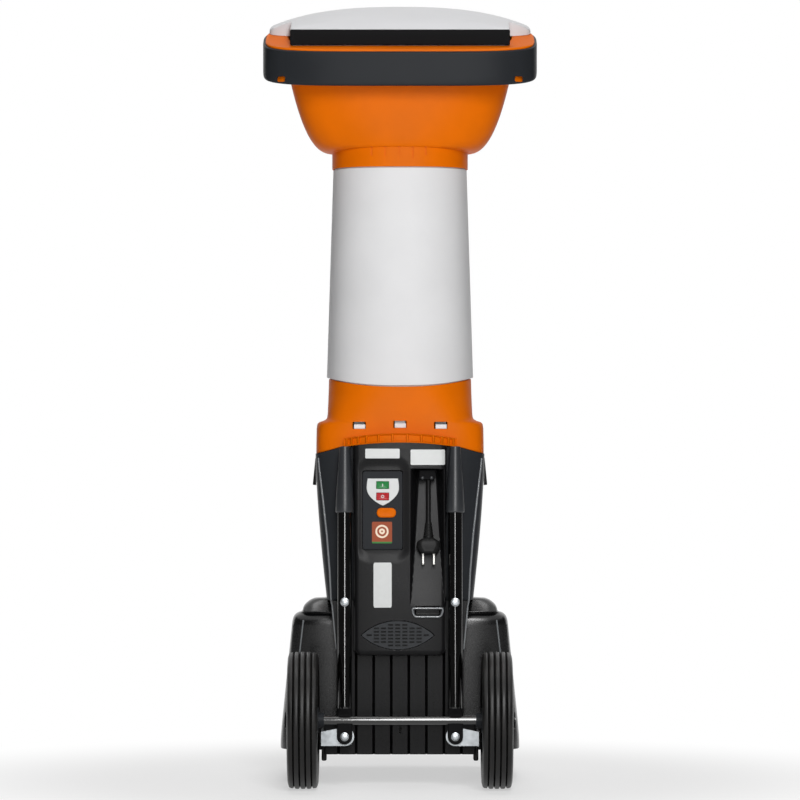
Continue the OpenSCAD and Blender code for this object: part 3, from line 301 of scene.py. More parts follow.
def outward(points, faces):
    """Faces turned so that the volume they close, the sum of p0 . (p1 x p2) / 6, is positive."""
    corners = np.array([[f[0], f[1], f[2], f[0], f[2], f[-1]] for f in faces])
    p = points[corners].reshape(-1, 3, 3)
    volume = np.einsum("ij,ij->i", p[:, 0], np.cross(p[:, 1], p[:, 2])).sum()
    return faces if volume > 0 else [face[::-1] for face in faces]


def piece(name, shape, look, part=None, body="base"):
    """Makes a mesh object from a shape in millimetres, shades it smooth and lets it ride on a CAD body. It
    stands for the CAD node named by part, which is hidden."""
    points, faces = shape
    mesh = bpy.data.meshes.new(name)
    mesh.from_pydata((points * MM).tolist(), [], outward(points, faces))
    mesh.shade_smooth()
    mesh.set_sharp_from_angle(angle=SHARP)
    mesh.materials.append(finish(look))
    made = bpy.data.objects.new(name, mesh)
    bpy.context.scene.collection.objects.link(made)
    made.modifiers.new("Even shading", "WEIGHTED_NORMAL").keep_sharp = True
    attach(made, body)
    if part:
        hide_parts(part)
    return made


def dress(look, *nodes):
    """Gives CAD nodes that stay in view a finish."""
    for name in nodes:
        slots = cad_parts[name].data.materials
        slots.clear()
        slots.append(finish(look))


def cut_away(made, box, place, front, back):
    """Takes a block out of a piece, once and for all, by the exact difference of the two meshes. box is the
    block's width, height, corner radius and number of points, place its middle in x and z."""
    points, faces = slab(rounded_box(*box) + place, front, back, 0.01)
    tool_mesh = bpy.data.meshes.new("Cutter")
    tool_mesh.from_pydata((points * MM).tolist(), [], outward(points, faces))
    tool = bpy.data.objects.new("Cutter", tool_mesh)
    bpy.context.scene.collection.objects.link(tool)
    step = made.modifiers.new("Cut", "BOOLEAN")
    step.operation, step.solver, step.object = "DIFFERENCE", "EXACT", tool
    made.modifiers.move(len(made.modifiers) - 1, 0)
    shading = made.modifiers[1]
    shading.show_viewport = False
    bpy.context.view_layer.update()
    cut = bpy.data.meshes.new_from_object(made.evaluated_get(bpy.context.evaluated_depsgraph_get()))
    made.modifiers.remove(step)
    shading.show_viewport = True
    old, made.data = made.data, cut
    cut.name = made.name
    bpy.data.meshes.remove(old)
    bpy.data.objects.remove(tool)
    bpy.data.meshes.remove(tool_mesh)
    cut.set_sharp_from_angle(angle=SHARP)


def node(tree, kind, inputs=None, **settings):
    """Adds a shader node with its settings; inputs gives its sockets values or other nodes' outputs."""
    made = tree.nodes.new("ShaderNode" + kind)
    for name, value in settings.items():
        setattr(made, name, value)
    for name, value in (inputs or {}).items():
        if isinstance(value, bpy.types.NodeSocket):
            tree.links.new(value, made.inputs[name])
        else:
            made.inputs[name].default_value = value
    return made


def worked(tree, operation, first, second):
    """The result of a sum on two values."""
    return node(tree, "Math", {0: first, 1: second}, operation=operation).outputs[0]


def spread_out(tree, value, start, end, low=0.0, high=1.0, **settings):
    """A value from start to end laid out between low and high."""
    return node(tree, "MapRange", {"Value": value, "From Min": start, "From Max": end,
                                   "To Min": low, "To Max": high}, **settings).outputs["Result"]


def ranged(tree, value, low, high, spread=0.2):
    """A noise value, which gathers round a half, laid out between low and high."""
    return spread_out(tree, value, 0.5 - spread, 0.5 + spread, low, high)


def noise(tree, where, size, detail, roughness=0.5):
    """Noise whose grains are about size across, in millimetres."""
    return node(tree, "TexNoise", {"Vector": where, "Scale": 1 / (size * MM), "Detail": detail,
                                   "Roughness": roughness}).outputs["Fac"]


def waves(tree, where, pitch, distortion, detail=2, detail_scale=1, **settings):
    """Waves whose crests lie pitch apart, in millimetres; the texture's own pitch is 2 pi / 20 at scale 1."""
    return node(tree, "TexWave", {"Vector": where, "Scale": 0.314 / (pitch * MM), "Distortion": distortion,
                                  "Detail": detail, "Detail Scale": detail_scale}, **settings).outputs["Fac"]


def toned(tree, paint, value):
    """A colour with its brightness multiplied by a value."""
    return node(tree, "HueSaturation", {"Value": value, "Color": (*paint[:3], 1)}).outputs["Color"]


def blended(tree, share, first, second):
    """Two colours, with the second one's share."""
    return node(tree, "MixRGB", {"Fac": share, "Color1": first, "Color2": second}).outputs["Color"]


def relief(tree, height, strength, depth):
    """Normals of a relief whose depth is in millimetres."""
    return node(tree, "Bump", {"Strength": strength, "Distance": depth * MM,
                               "Height": height}).outputs["Normal"]


def blank(name):
    """A material with an empty tree, and its Object coordinates."""
    made = bpy.data.materials.new(name)
    made.use_nodes = True
    made.node_tree.nodes.clear()
    return made, made.node_tree, node(made.node_tree, "TexCoord").outputs["Object"]


def surfaced(made, tint, roughness, **inputs):
    """Ends a material in a Principled surface; an input's name has _ for its spaces."""
    sockets = {name.replace("_", " "): value for name, value in inputs.items()}
    shader = node(made.node_tree, "BsdfPrincipled", {"Base Color": tint, "Roughness": roughness, **sockets})
    node(made.node_tree, "OutputMaterial", {"Surface": shader.outputs["BSDF"]})
    return made


def moulded(name, paint, roughness, grain, depth, specular=0.5, mottle=0.05):
    """A moulded plastic. The eroded steel of its mould leaves a grain, sized in millimetres, that breaks up
    the gloss. Handling leaves broad faint patches, and edges that stick out are rubbed a little lighter."""
    made, tree, where = blank(name)
    fine, broad = noise(tree, where, grain, 2.5), noise(tree, where, 70, 4)
    edge = spread_out(tree, node(tree, "NewGeometry").outputs["Pointiness"], 0.52, 0.62, 0, 0.12)
    tone = worked(tree, "ADD", ranged(tree, broad, 1 - mottle, 1 + mottle), edge)
    gloss = worked(tree, "ADD", ranged(tree, fine, roughness - 0.06, roughness + 0.06),
                   ranged(tree, broad, -0.03, 0.03))
    return surfaced(made, toned(tree, paint, tone), gloss, Normal=relief(tree, fine, 0.6, depth),
                    Specular_IOR_Level=specular, IOR=1.5)


def metal(name, code, roughness, streak, depth, stretch=(1, 1, 1), spread=0.1):
    """A bare metal whose surface is marked at the size of streak, in millimetres, drawn out along an axis
    where stretch is small, as grinding does. Its tone and gloss change with the marks."""
    made, tree, where = blank(name)
    drawn = node(tree, "Mapping", {"Vector": where, "Scale": stretch}).outputs["Vector"]
    marks = noise(tree, drawn, streak, 2.5)
    tint = toned(tree, linear(code), ranged(tree, marks, 1 - spread, 1 + spread))
    return surfaced(made, tint, ranged(tree, marks, roughness - 0.08, roughness + 0.08), Metallic=1.0,
                    Normal=relief(tree, marks, 0.5, depth))


def coated_wire(name):
    """Enamelled copper wire, wound: turns of 2 mm side by side along z, with a warm lacquered gloss."""
    made, tree, where = blank(name)
    turns = waves(tree, where, 2.0, 1.5, 1, bands_direction="Z")
    tint = toned(tree, linear("#B5652A"), ranged(tree, turns, 0.7, 1.1, 0.5))
    return surfaced(made, tint, 0.35, Metallic=0.85, Normal=relief(tree, turns, 0.8, 0.4), Coat_Weight=0.5,
                    Coat_Roughness=0.15)


def stacked_sheet(name):
    """Stacked core sheet: its laminations show as fine dark lines, drawn 1.5 mm apart along z."""
    made, tree, where = blank(name)
    sheets = waves(tree, where, 1.5, 0.2, bands_direction="Z")
    tint = toned(tree, linear("#6E7276"), ranged(tree, sheets, 0.75, 1.05, 0.5))
    return surfaced(made, tint, 0.5, Metallic=0.9, Normal=relief(tree, sheets, 0.6, 0.2))


def vulcanised(name, paint, roughness):
    """Moulded rubber: matt, with a fine skin from the mould, and paler dust that settles in broad patches."""
    made, tree, where = blank(name)
    skin, dust = noise(tree, where, 1.6, 4), noise(tree, where, 35, 5, 0.65)
    tint = blended(tree, ranged(tree, dust, 0.0, 0.1), (*paint, 1), linear("#4A4744"))
    return surfaced(made, tint, ranged(tree, dust, roughness - 0.05, roughness + 0.08),
                    Normal=relief(tree, skin, 0.5, 0.25), Specular_IOR_Level=0.3)


def stoved(name, paint):
    """Stoved black enamel on steel tube: a deep gloss over a slow orange-peel ripple of about 5 mm."""
    made, tree, where = blank(name)
    peel, haze = noise(tree, where, 5, 1), noise(tree, where, 25, 4)
    return surfaced(made, toned(tree, paint, ranged(tree, haze, 0.8, 1.2)), ranged(tree, haze, 0.06, 0.12),
                    Normal=relief(tree, peel, 0.15, 0.05), Specular_IOR_Level=0.9)


def film(name, paint):
    """Printed-film plate without print: smooth vinyl with a faint lay and slightly greyed patches."""
    made, tree, where = blank(name)
    lay = noise(tree, where, 12, 3)
    return surfaced(made, toned(tree, paint, ranged(tree, lay, 0.96, 1.02)), ranged(tree, lay, 0.3, 0.42),
                    Normal=relief(tree, lay, 0.2, 0.1))


def log_print(name, ground, pale, centre, band):
    """Picture plate: the end of a cut log, pale growth rings 6.8 mm apart, and a green foot below band."""
    made, tree, where = blank(name)
    shift = tuple(-c * MM for c in centre)
    place = node(tree, "Mapping", {"Vector": where, "Location": shift}).outputs["Vector"]
    rings = waves(tree, place, 6.8, 1.2, detail_scale=2.5, wave_type="RINGS", rings_direction="Y")
    away = node(tree, "VectorMath", {0: place}, operation="LENGTH").outputs["Value"]
    disc = spread_out(tree, away, 11.4 * MM, 12 * MM, 1, 0)
    mark = worked(tree, "MULTIPLY", spread_out(tree, rings, 0.35, 0.6), disc)
    tint = blended(tree, mark, (*ground, 1), (*pale, 1))
    height = node(tree, "SeparateXYZ", {"Vector": where}).outputs["Z"]
    foot = spread_out(tree, height, (band - 0.3) * MM, (band + 0.3) * MM, 1, 0)
    return surfaced(made, blended(tree, foot, tint, linear("#3E7A3C")), 0.4, Specular_IOR_Level=0.15)


# Finishes by their short names, once they are made
FINISHES = {}


def finish(name):
    """A finish by its short name. All are made from the scene's colours when the first is asked for."""
    if not FINISHES:
        c = bpy.context.scene.shredder_colours
        FINISHES.update({
            # Moulded ABS, satin: an even, strong colour with a soft sheen on its crowns
            "orange": moulded("Moulded orange ABS", c.orange, 0.45, 1.4, 0.05, 0.06),
            # Moulded polypropylene: waxy and pale, with broad, weak highlights
            "tube": moulded("Moulded pale grey PP", c.tube, 0.5, 1.6, 0.06, 0.35, 0.02),
            # Moulded ABS, finer grain: the brightest of the mouldings
            "lid": moulded("Moulded light grey ABS", c.lid, 0.4, 1.2, 0.04, 0.4, 0.02),
            # Glass-filled PP: a cool dark grey that turns silky at a flat angle
            "charcoal": moulded("Glass filled charcoal PP", c.charcoal, 0.38, 1.3, 0.04, 0.06),
            # The same moulding in a light grey, a painted highlight: a thin light line along corners under
            # any lamp
            "edge": moulded("Light grey PP painted highlight", linear("#6C6F72"), 0.2, 1.3, 0.01, 0.9),
            # The same moulding, rubbed by hands and legs: dark, with a broad soft light along its crown
            "rubbed": moulded("Rubbed charcoal PP", c.charcoal, 0.36, 1.3, 0.02, 0.5),
            # Vent grille: satin charcoal polypropylene, its bars a little paler than the cover round them
            "vent": moulded("Satin charcoal PP", c.charcoal, 0.4, 1.3, 0.02, 0.2),
            # Soft moulding: black without any gloss
            "seal": moulded("Matt black TPE", linear("#151516"), 0.7, 1.5, 0.05, 0.05),
            # Grained PP: nearly black, with a leathery grain under a weak sheen
            "black": moulded("Grained black PP", c.black, 0.32, 1.5, 0.05, 0.14),
            # Moulded ABS, polished: deep black, with a grey sheen wherever a ledge turns up to the light
            "gloss": moulded("Moulded black ABS", linear("#0C0C0D"), 0.26, 1.4, 0.02, 0.5),
            # Tyre tread, worn a little smooth, and the softer, duller rubber of the feet
            "tyre": vulcanised("Tyre rubber", c.rubber, 0.4),
            "foot": vulcanised("Foot rubber", c.rubber, 0.65),
            # Enamel: black, with a hard white line where a lamp stands in its curve
            "enamel": stoved("Stoved black enamel", c.enamel),
            # Bright zinc plate: pale, a little cloudy
            "zinc": metal("Bright zinc plate", "#A9ADB0", 0.36, 9, 0.01, spread=0.16),
            # Ground steel: fine marks along the shaft's length
            "steel": metal("Ground steel", "#B8BCC0", 0.3, 0.8, 0.02, (1, 1, 0.05)),
            # Die-cast aluminium: a dull, sandy skin
            "cast": metal("Die cast aluminium", "#93979B", 0.55, 1.2, 0.1),
            # Nickel plate on brass: bright and smooth
            "nickel": metal("Nickel plate", "#F0EEE9", 0.42, 3, 0.01, (1, 1, 0.2), 0.04),
            # The motor's copper and core, which show once the body is opened
            "wire": coated_wire("Enamelled copper wire"),
            "core": stacked_sheet("Stacked core sheet"),
            # Buttons, coloured through: clear signal colours with a small highlight
            "go": moulded("Moulded green ABS", c.go, 0.3, 1.2, 0.02, 0.2),
            "halt": moulded("Moulded red ABS", c.halt, 0.3, 1.2, 0.02, 0.2),
            # Plates: clean white, smoother than the mouldings round them
            "plate": film("White vinyl film", c.plate),
            # Moulded PBT cup of the capacitor: milky and smooth
            "cup": moulded("Moulded white PBT", linear("#D8D6CF"), 0.35, 1.2, 0.02),
            # PVC sheath: soft black with a dull gloss
            "sheath": moulded("Black PVC sheath", c.rubber, 0.42, 1.2, 0.05, 0.15, 0.1),
            # Picture plate: warm brown and cream, the one spot of print
            "picture": log_print("Log print on vinyl", c.bark, c.wood, (-31.6, PANEL_Y, 450), 432),
        })
    return FINISHES[name]


def seen(tree):
    """1 for rays from the camera, straight, mirrored or let through, and 0 for rays that only light."""
    rays = node(tree, "LightPath").outputs
    straight = worked(tree, "MAXIMUM", rays["Is Camera Ray"], rays["Is Transmission Ray"])
    return worked(tree, "MAXIMUM", straight, rays["Is Glossy Ray"])


def staged(name, points, faces, material):
    """A mesh of the stage, in metres, which isn't part of the object."""
    mesh = bpy.data.meshes.new(name)
    mesh.from_pydata(points.reshape(-1, 3).tolist(), [], faces.tolist())
    mesh.materials.append(material)
    made = bpy.data.objects.new(name, mesh)
    bpy.context.scene.collection.objects.link(made)
    return made


class SHREDDER_OT_stage(bpy.types.Operator):
    """Camera at the photograph's place, pale floor, white surround and soft studio lights"""

    bl_idname = "shredder.stage"
    bl_label = "Stage"

    def execute(self, context):
        scene = context.scene
        scene.view_settings.view_transform = "Standard"
        lens = bpy.data.cameras.new("Camera")
        lens.sensor_width, lens.lens = 36, 205
        camera = bpy.data.objects.new("Camera", lens)
        camera.location = (0, -8.17, 0.681)
        camera.rotation_euler = (math.pi / 2, 0, 0)
        scene.collection.objects.link(camera)
        scene.camera = camera

        # Surround: white where it is seen, and a weak fill where it only lights
        world = bpy.data.worlds.new("Studio")
        world.use_nodes = True
        tree = world.node_tree
        tree.nodes.clear()
        strength = spread_out(tree, seen(tree), 0, 1, 0.04, 1.0)
        light = node(tree, "Background", {"Color": (1, 1, 1, 1), "Strength": strength})
        node(tree, "OutputWorld", {"Surface": light.outputs[0]})
        scene.world = world

        # Pale studio paper: half matt near the object, where it takes the shadow, and white farther out
        paper, tree, where = blank("Studio paper")
        away = node(tree, "VectorMath", {0: where}, operation="LENGTH").outputs["Value"]
        far = spread_out(tree, away, 0.45, 1.1, interpolation_type="SMOOTHSTEP")
        share = worked(tree, "MULTIPLY", spread_out(tree, far, 0, 1, 0.52, 1.0), seen(tree))
        tint = toned(tree, linear("#F0F0F0"), ranged(tree, noise(tree, where, 4, 3), 0.98, 1.02))
        matt = node(tree, "BsdfDiffuse", {"Color": tint}).outputs[0]
        white = node(tree, "Emission", {"Color": (1, 1, 1, 1), "Strength": 1.0}).outputs[0]
        both = node(tree, "MixShader", {0: share, 1: matt, 2: white}).outputs[0]
        node(tree, "OutputMaterial", {"Surface": both})
        lines = np.linspace(-12, 12, 41)
        x, y = np.meshgrid(lines, lines, indexing="xy")
        staged("Floor", np.stack([x, y, np.full_like(x, -0.0005)], -1), quads_over(41, 41), paper)

        # Grey felt round the stage but for its back, which only reflections see, so that the sides' edges
        # turn dark as they do in a studio, while ledges pick up the white backdrop
        felt, tree, _ = blank("Grey felt")
        dull = node(tree, "Emission", {"Color": (1, 1, 1, 1), "Strength": 0.06}).outputs[0]
        node(tree, "OutputMaterial", {"Surface": dull})
        a = np.radians(np.linspace(130, 410, 57))
        bend = np.stack([9 * np.cos(a), 9 * np.sin(a)], -1)
        wall = np.stack([raised(bend, z) for z in (-0.4, 2, 5)])
        surround = staged("Felt", wall, quads_over(3, 57), felt)
        surround.visible_camera = surround.visible_diffuse = surround.visible_shadow = False
        surround.visible_transmission = surround.visible_volume_scatter = False

        for name, place, aim, size, power in (
                ("Overhead", (0.0, 0.3, 5.0), (0, 0, 0.8), (2.6, 2.0), 70),
                ("Front", (0.45, -3.7, 2.5), (0, 0, 0.8), (0.9, 1.5), 86),
                ("Low front", (-0.3, -4.2, 0.95), (0, 0, 0.7), (0.8, 0.8), 4),
                ("Strip", (0.05, -3.3, 0.91), (0.05, 0, 0.91), (0.34, 1.18), 24),
                ("Back", (0.0, 3.6, 0.95), (0, 0, 0.75), (1.0, 1.6), 60)):
            lamp = bpy.data.lights.new(name, "AREA")
            lamp.shape, lamp.size, lamp.size_y = "RECTANGLE", *size
            lamp.energy = power
            made = bpy.data.objects.new(name, lamp)
            made.location = place
            made.rotation_euler = (Vector(aim) - Vector(place)).to_track_quat("-Z", "Y").to_euler()
            made.visible_camera = False
            # The back lamp only fills the far side, and no ledge mirrors it towards the camera
            made.visible_glossy = name != "Back"
            scene.collection.objects.link(made)
        return {"FINISHED"}


def smooth_route(points, n):
    """A route of n points over given ones: on each span of the chord length p = h0 p0 + h1 m0 + h2 p1 + h3
    m1, the cubic Hermite form, whose slopes m are central differences."""
    chord = np.concatenate([[0], np.cumsum(np.linalg.norm(np.diff(points, axis=0), axis=1))])
    slope = np.gradient(points, chord, axis=0)
    at = np.linspace(0, chord[-1], n)
    k = np.clip(np.searchsorted(chord, at, side="right") - 1, 0, len(points) - 2)
    span = (chord[k + 1] - chord[k])[:, None]
    t = ((at - chord[k])[:, None]) / span
    return ((2 * t ** 3 - 3 * t ** 2 + 1) * points[k] + (t ** 3 - 2 * t ** 2 + t) * span * slope[k]
            + (3 * t ** 2 - 2 * t ** 3) * points[k + 1] + (t ** 3 - t ** 2) * span * slope[k + 1])


def swept(route, across, up, section):
    """A section of points (u, v) carried along a route: each point is p + u * across + v * up."""
    return route[:, None] + section[:, :1] * across[:, None] + section[:, 1:] * up[:, None]


def circle(r, n):
    """n points on a circle."""
    a = np.linspace(0, 2 * np.pi, n, endpoint=False)
    return np.stack([r * np.cos(a), r * np.sin(a)], -1)


def beads(x, y, z, r):
    """A slim round rib of radius r along the points (x, y, z), and its other hand."""
    x_axis, y_axis, _ = np.eye(3)[:, None]
    return paired(*skinned(swept(np.stack([x, y, z], -1), x_axis, y_axis, circle(r, 16))))


def rounded_box(w, h, r, n=96):
    """A rectangle with round corners, n points: four quarter circles of radius r and straight sides."""
    a = np.linspace(0, np.pi / 2, n // 4)
    quarter = np.stack([w / 2 - r + r * np.cos(a), h / 2 - r + r * np.sin(a)], -1)
    other = np.stack([-(w / 2 - r) - r * np.sin(a), h / 2 - r + r * np.cos(a)], -1)
    return np.concatenate([quarter, other, -quarter, -other])


def drawn_in(points, t):
    """A closed flat outline moved inwards by t along its normals."""
    along = np.roll(points, -1, 0) - np.roll(points, 1, 0)
    along /= np.maximum(np.linalg.norm(along, axis=1, keepdims=True), 1e-9)
    return points + t * np.stack([-along[:, 1], along[:, 0]], -1)


def slab(shape, front, back, edge, crown=0.0):
    """A plate standing upright: a flat outline in x and z from y = back to y = front, nearer the operator. A
    quarter circle of radius edge rounds its front, and crown * (1 - s^2) raises its rings drawn in by s."""
    turn = np.linspace(0, np.pi / 2, 5)
    rings = [(0.0, back)] + [(edge * (1 - np.cos(t)), front + edge * (1 - np.sin(t))) for t in turn]
    flat = [drawn_in(shape, depth) for depth, _ in rings]
    heights = [y for _, y in rings]
    middle, inner = shape.mean(0), flat[-1]
    for s in (0.97, 0.8, 0.55, 0.3, 0.1):
        flat.append(middle + (inner - middle) * s)
        heights.append(front - crown * (1 - s * s))
    return skinned([np.stack([f[:, 0], np.full(len(f), y), f[:, 1]], -1) for f, y in zip(flat, heights)])


def turned_about(profile, n):
    """Rings of n points: a profile of (radius, height) turned about z."""
    profile = np.asarray(profile, float)
    return np.stack([raised(circle(r, n), z) for r, z in profile])


def along_x(rings):
    """Rings turned about z, laid along x."""
    return np.stack([rings[..., 2], rings[..., 0], rings[..., 1]], -1)


def along_y(rings):
    """Rings turned about z, laid along y."""
    return np.stack([rings[..., 0], rings[..., 2], rings[..., 1]], -1)


def leaned(points):
    """Points of a leg's own frame (its axis z from the axle up) set in place on the right-hand side."""
    x, y, z = np.moveaxis(points, -1, 0)
    return np.stack([x + LEG_X, AXLE_Y + y * math.cos(LEG_LEAN) + z * math.sin(LEG_LEAN),
                     AXLE_Z - y * math.sin(LEG_LEAN) + z * math.cos(LEG_LEAN)], -1)


def plug_place(points):
    """Points of the plug's own frame (z towards the cord) set at the cord's end, along the bay's ramp."""
    a = math.atan2(38, 240)
    x, y, z = np.moveaxis(points, -1, 0)
    end = CORD[-1]
    return np.stack([end[0] + x, end[1] + y * math.cos(a) + z * math.sin(a),
                     end[2] - y * math.sin(a) + z * math.cos(a)], -1)


class SHREDDER_OT_cord(bpy.types.Operator):
    """Mains cord from its clamp to the plug that hangs in the cable bay"""

    bl_idname = "shredder.cord"
    bl_label = "Cord and plug"

    def execute(self, context):
        # Plug: rounded boxes by z, half width and half thickness, and a collared, tapered strain relief
        sizes = smooth_route(np.array([
            (-29, 9, 8.5), (-32, 14, 11.5), (-36, 19.6, 13.4), (-40, 21, 14), (-45, 21, 14),
            (-50, 18.6, 13.6), (-55, 16.2, 13), (-57, 14.6, 11.6)], float), 40)
        rings = np.stack([raised(rounded_box(2 * w, 2 * t, 0.72 * t, 64), z) for z, w, t in sizes])
        z = np.linspace(0, -32, 90)
        collar = 0.55 * np.clip(np.cos(2 * np.pi * z / 5), -0.4, 1) * (z < -4) * (z > -30)
        sleeve = turned_about(np.stack([5.1 - 4.3 * z / 32 + collar, z], -1), 48)
        shape = joined(skinned(plug_place(rings)), skinned(plug_place(sleeve)))
        plug = piece("plug", shape, "sheath", "plug_body")
        route = smooth_route(CORD, 25)
        along = np.gradient(route, axis=0)
        along /= np.linalg.norm(along, axis=1, keepdims=True)
        across = np.broadcast_to([1.0, 0, 0], route.shape)
        tube = swept(route, across, np.cross(across, along), circle(CORD_D / 2, 24))
        cord = piece("cord", skinned(tube), "sheath", "mains_cord")
        dress("nickel", "plug_pins")
        return {"FINISHED"}


def bowl_ring(t, depth):
    """Bowl between its arched neck and its inclined mouth: the plan goes over by t^0.39, the height by t. The
    inner side is lifted by 0.8 depth e^(-t/0.04) too, to keep the wall's thickness where it is level."""
    low = dipped(inset(NECK, depth), BOWL_LOW, -CREASE_ARCH)
    high = inclined(inset(BOWL, depth), 0)
    low[:, 2] += 0.8 * depth * math.exp(-t / 0.04)
    return low + (high - low) * [t ** 0.39, t ** 0.39, t]


class SHREDDER_OT_hopper(bpy.types.Operator):
    """Bowl with its rim and grooves, and the bumper collar round it"""

    bl_idname = "shredder.hopper"
    bl_label = "Hopper"

    def execute(self, context):
        sizes = context.scene.shredder_sizes
        edge, foot = sizes.rim_round / MM, sizes.collar_round / MM
        skirt, brim, ledge = inset(RIM, 8.3), inset(RIM, 4.4), COLLAR_H + SEAT
        steps = np.linspace(0, 1, 44)[1:] ** 2.6
        outer = [dipped(NECK, NECK_Z, -NECK_ARCH), bowl_ring(0, 0)] + [bowl_ring(t, 0) for t in steps]
        turn = [inclined(section, h) for section, h in (
            (MOUTH, ledge - 3), (inset(skirt, 3), ledge - 3), (inset(skirt, 3), 0.6), (skirt, 0.6),
            (skirt, ledge), (brim, ledge), (brim, RIM_TOP), (inset(MOUTH, WALL), RIM_TOP))]
        inner = [bowl_ring(t, WALL) for t in steps[::-1]]
        inner += [bowl_ring(0, WALL), dipped(inset(NECK, WALL), NECK_Z, -NECK_ARCH)]
        radii = [1, 1.5] + [0] * len(steps) + [2, 2, 1, 1, 0.5, 0.5, edge, 6] + [0] * len(steps) + [3, 1]
        bowl = piece("bowl", walled(outer + turn + inner, radii), "orange", "hopper_bowl")

        # Five short grooves under the crease at the rear
        top = 1130
        for x, low in ((-50.4, 1113), (-26, 1112), (-1.8, 1112.5), (22.6, 1108.5), (45.4, 1114)):
            y = float(rear_y(NECK, x))
            cut_away(bowl, (3.4, top - low, 1.2, 32), [x, (top + low) / 2], y - 8, y + 3.7)

        # Collar: a band with a small window near each rear corner
        band = ((1, 0), (0, 8), (0, COLLAR_H), (4, COLLAR_H), (8, COLLAR_H), (8, 0))
        rings = [inclined(inset(RIM, depth), h, 600) for depth, h in band]
        collar = piece("collar", walled(rings, [foot, 4, 3, 1, 1, 1]), "charcoal", "hopper_collar")
        for side in (-1, 1):
            cut_away(collar, (14, 10, 3, 32), [side * 209, 1246], -175, -130)
        return {"FINISHED"}


def lid_outline(d):
    """The lid's outline drawn in by d: a round front, a lobe |x/a|^3 + |(y-m)/b|^3 = 1 at each side and a
    straight tongue to the rear, whose side stands at x = 194."""
    a, near, _, m, _, _ = inset(LID, d)
    x, b = 194 - d, 62 - d + m
    turn = np.linspace(0, np.arccos((x / a) ** 1.5), 33)[1:]
    lobe = np.stack([a * np.cos(turn) ** (2 / 3), m - b * np.sin(turn) ** (2 / 3)], -1)
    side = np.stack([np.full(40, x), np.linspace(lobe[-1, 1], 6 - near, 41)[1:]], -1)
    bend = np.linspace(0, np.pi / 2, 9)[1:]
    corner = np.stack([x - 6 + 6 * np.cos(bend), 6 - near - 6 * np.sin(bend)], -1)
    edge = np.stack([np.linspace(x - 6, 0, 61)[1:], np.full(60, -near)], -1)
    right = np.concatenate([lobe, side, corner, edge])
    front = outline(inset(LID, d), 720)[:360]
    return np.concatenate([front, [(-a, m)], right[:-1] * [-1, 1], right[::-1]])


def lid_ring(s, drop, wall):
    """Lid ring drawn in by s towards the crown: height crown + (edge - crown) s^3 on the rim plane. The
    edge is 8 mm high at the front, rises over the lobes to 26 mm at the tongue's sides and to 30 mm at its
    rear edge."""
    x, y = lid_outline(wall).T
    lobe = 18 * np.clip((LID[0] - wall - np.abs(x)) / 39, 0, 1) ** 0.7 + 4 * np.clip((-60 - y) / 70, 0, 1)
    rise, crown = 8 + lobe * (y < LID[3]), 40
    y = -25 + s * (y + 25)
    return np.stack([s * x, y, rim_plane(y, LID_BASE + crown + (rise - crown) * s ** 3 - drop)], -1)


class SHREDDER_OT_lid(bpy.types.Operator):
    """Domed lid with its straight tongue, the black lip and the hinge"""

    bl_idname = "shredder.lid"
    bl_label = "Lid"

    def execute(self, context):
        scales = np.linspace(0.02, 1, 40) ** 0.8
        crown = [lid_ring(s, 0, 0) for s in scales]
        foot = [lid_ring(1, 0, wall) for wall in (0, 3)]
        for ring in foot:
            ring[:, 2] = rim_plane(ring[:, 1], LID_BASE)
        lining = [lid_ring(s, 3, 3) for s in scales[::-1]]
        lining[0][:, 2] -= 2
        radii = [0] * (len(scales) - 1) + [5, 0.8, 0.8] + [0] * len(scales)
        piece("lid", skinned(softened(crown + foot + lining, radii, 7)), "lid", "lid", body="lid")
        low, edge = float(rim_plane(-LID[1], LID_BASE)) + 0.5, context.scene.shredder_sizes.lip_round / MM
        lip = slab(rounded_box(388, 27.5, 3) + [0, low + 13.75], -139.3, -133.3, edge, 0.4)
        piece("lid_lip", lip, "seal", "lid_lip", body="lid")
        dress("lid", "lid_hinge")
        dress("orange", "hinge_bracket")
        dress("steel", "hinge_pins")
        return {"FINISHED"}


class SHREDDER_OT_tube(bpy.types.Operator):
    """Feed tube with its spigots and the snap lugs that show in the shroud's windows"""

    bl_idname = "shredder.tube"
    bl_label = "Feed tube"

    def execute(self, context):
        low, high = inset(SHROUD_NECK, WALL + SEAT), inset(NECK, WALL + SEAT)
        spigot, seam, top = SHROUD_TOP - TUBE_DIP - 26, SHROUD_TOP + 2, TUBE_TOP + 28
        rings = [level(low, spigot), dipped(low, seam, TUBE_DIP), dipped(TUBE_LOW, seam, TUBE_DIP),
                 dipped(TUBE_HIGH, TUBE_TOP, -NECK_ARCH), dipped(high, TUBE_TOP, -NECK_ARCH),
                 level(high, top), level(inset(high, WALL), top),
                 level(inset(TUBE_HIGH, 2 * WALL), TUBE_TOP - 10),
                 dipped(inset(TUBE_LOW, WALL), SHROUD_TOP + 12, TUBE_DIP), level(inset(low, WALL), spigot)]
        shell = walled(rings, [1, 0.3, 1.6, 1.6, 0.3, 1, 1, 2, 2, 1])
        lugs = []
        for x in WINDOWS:
            face = float(rear_y(low, abs(x) + 9.5))
            tip = float(rear_y(shroud_section(WINDOW_Z), x)) + 1
            lugs.append(slab(rounded_box(20, 8, 1) + [x + 0.6, window_z(x) - 2.2], tip, face + 4, 1))
            lugs.append(slab(rounded_box(19, 58, 1) + [x, 661], face + 0.5, face + 8, 1))
        piece("feed_tube", joined(shell, *lugs), "tube", "feed_tube")
        return {"FINISHED"}


def seam_lift(xy):
    """Rise of the seam under the shroud: up to 13.5 mm from the sides towards the brow, on the rear only."""
    return 13.5 * np.clip((147 - np.abs(xy[:, 0])) / 48, 0, 1) * (xy[:, 1] < -60)


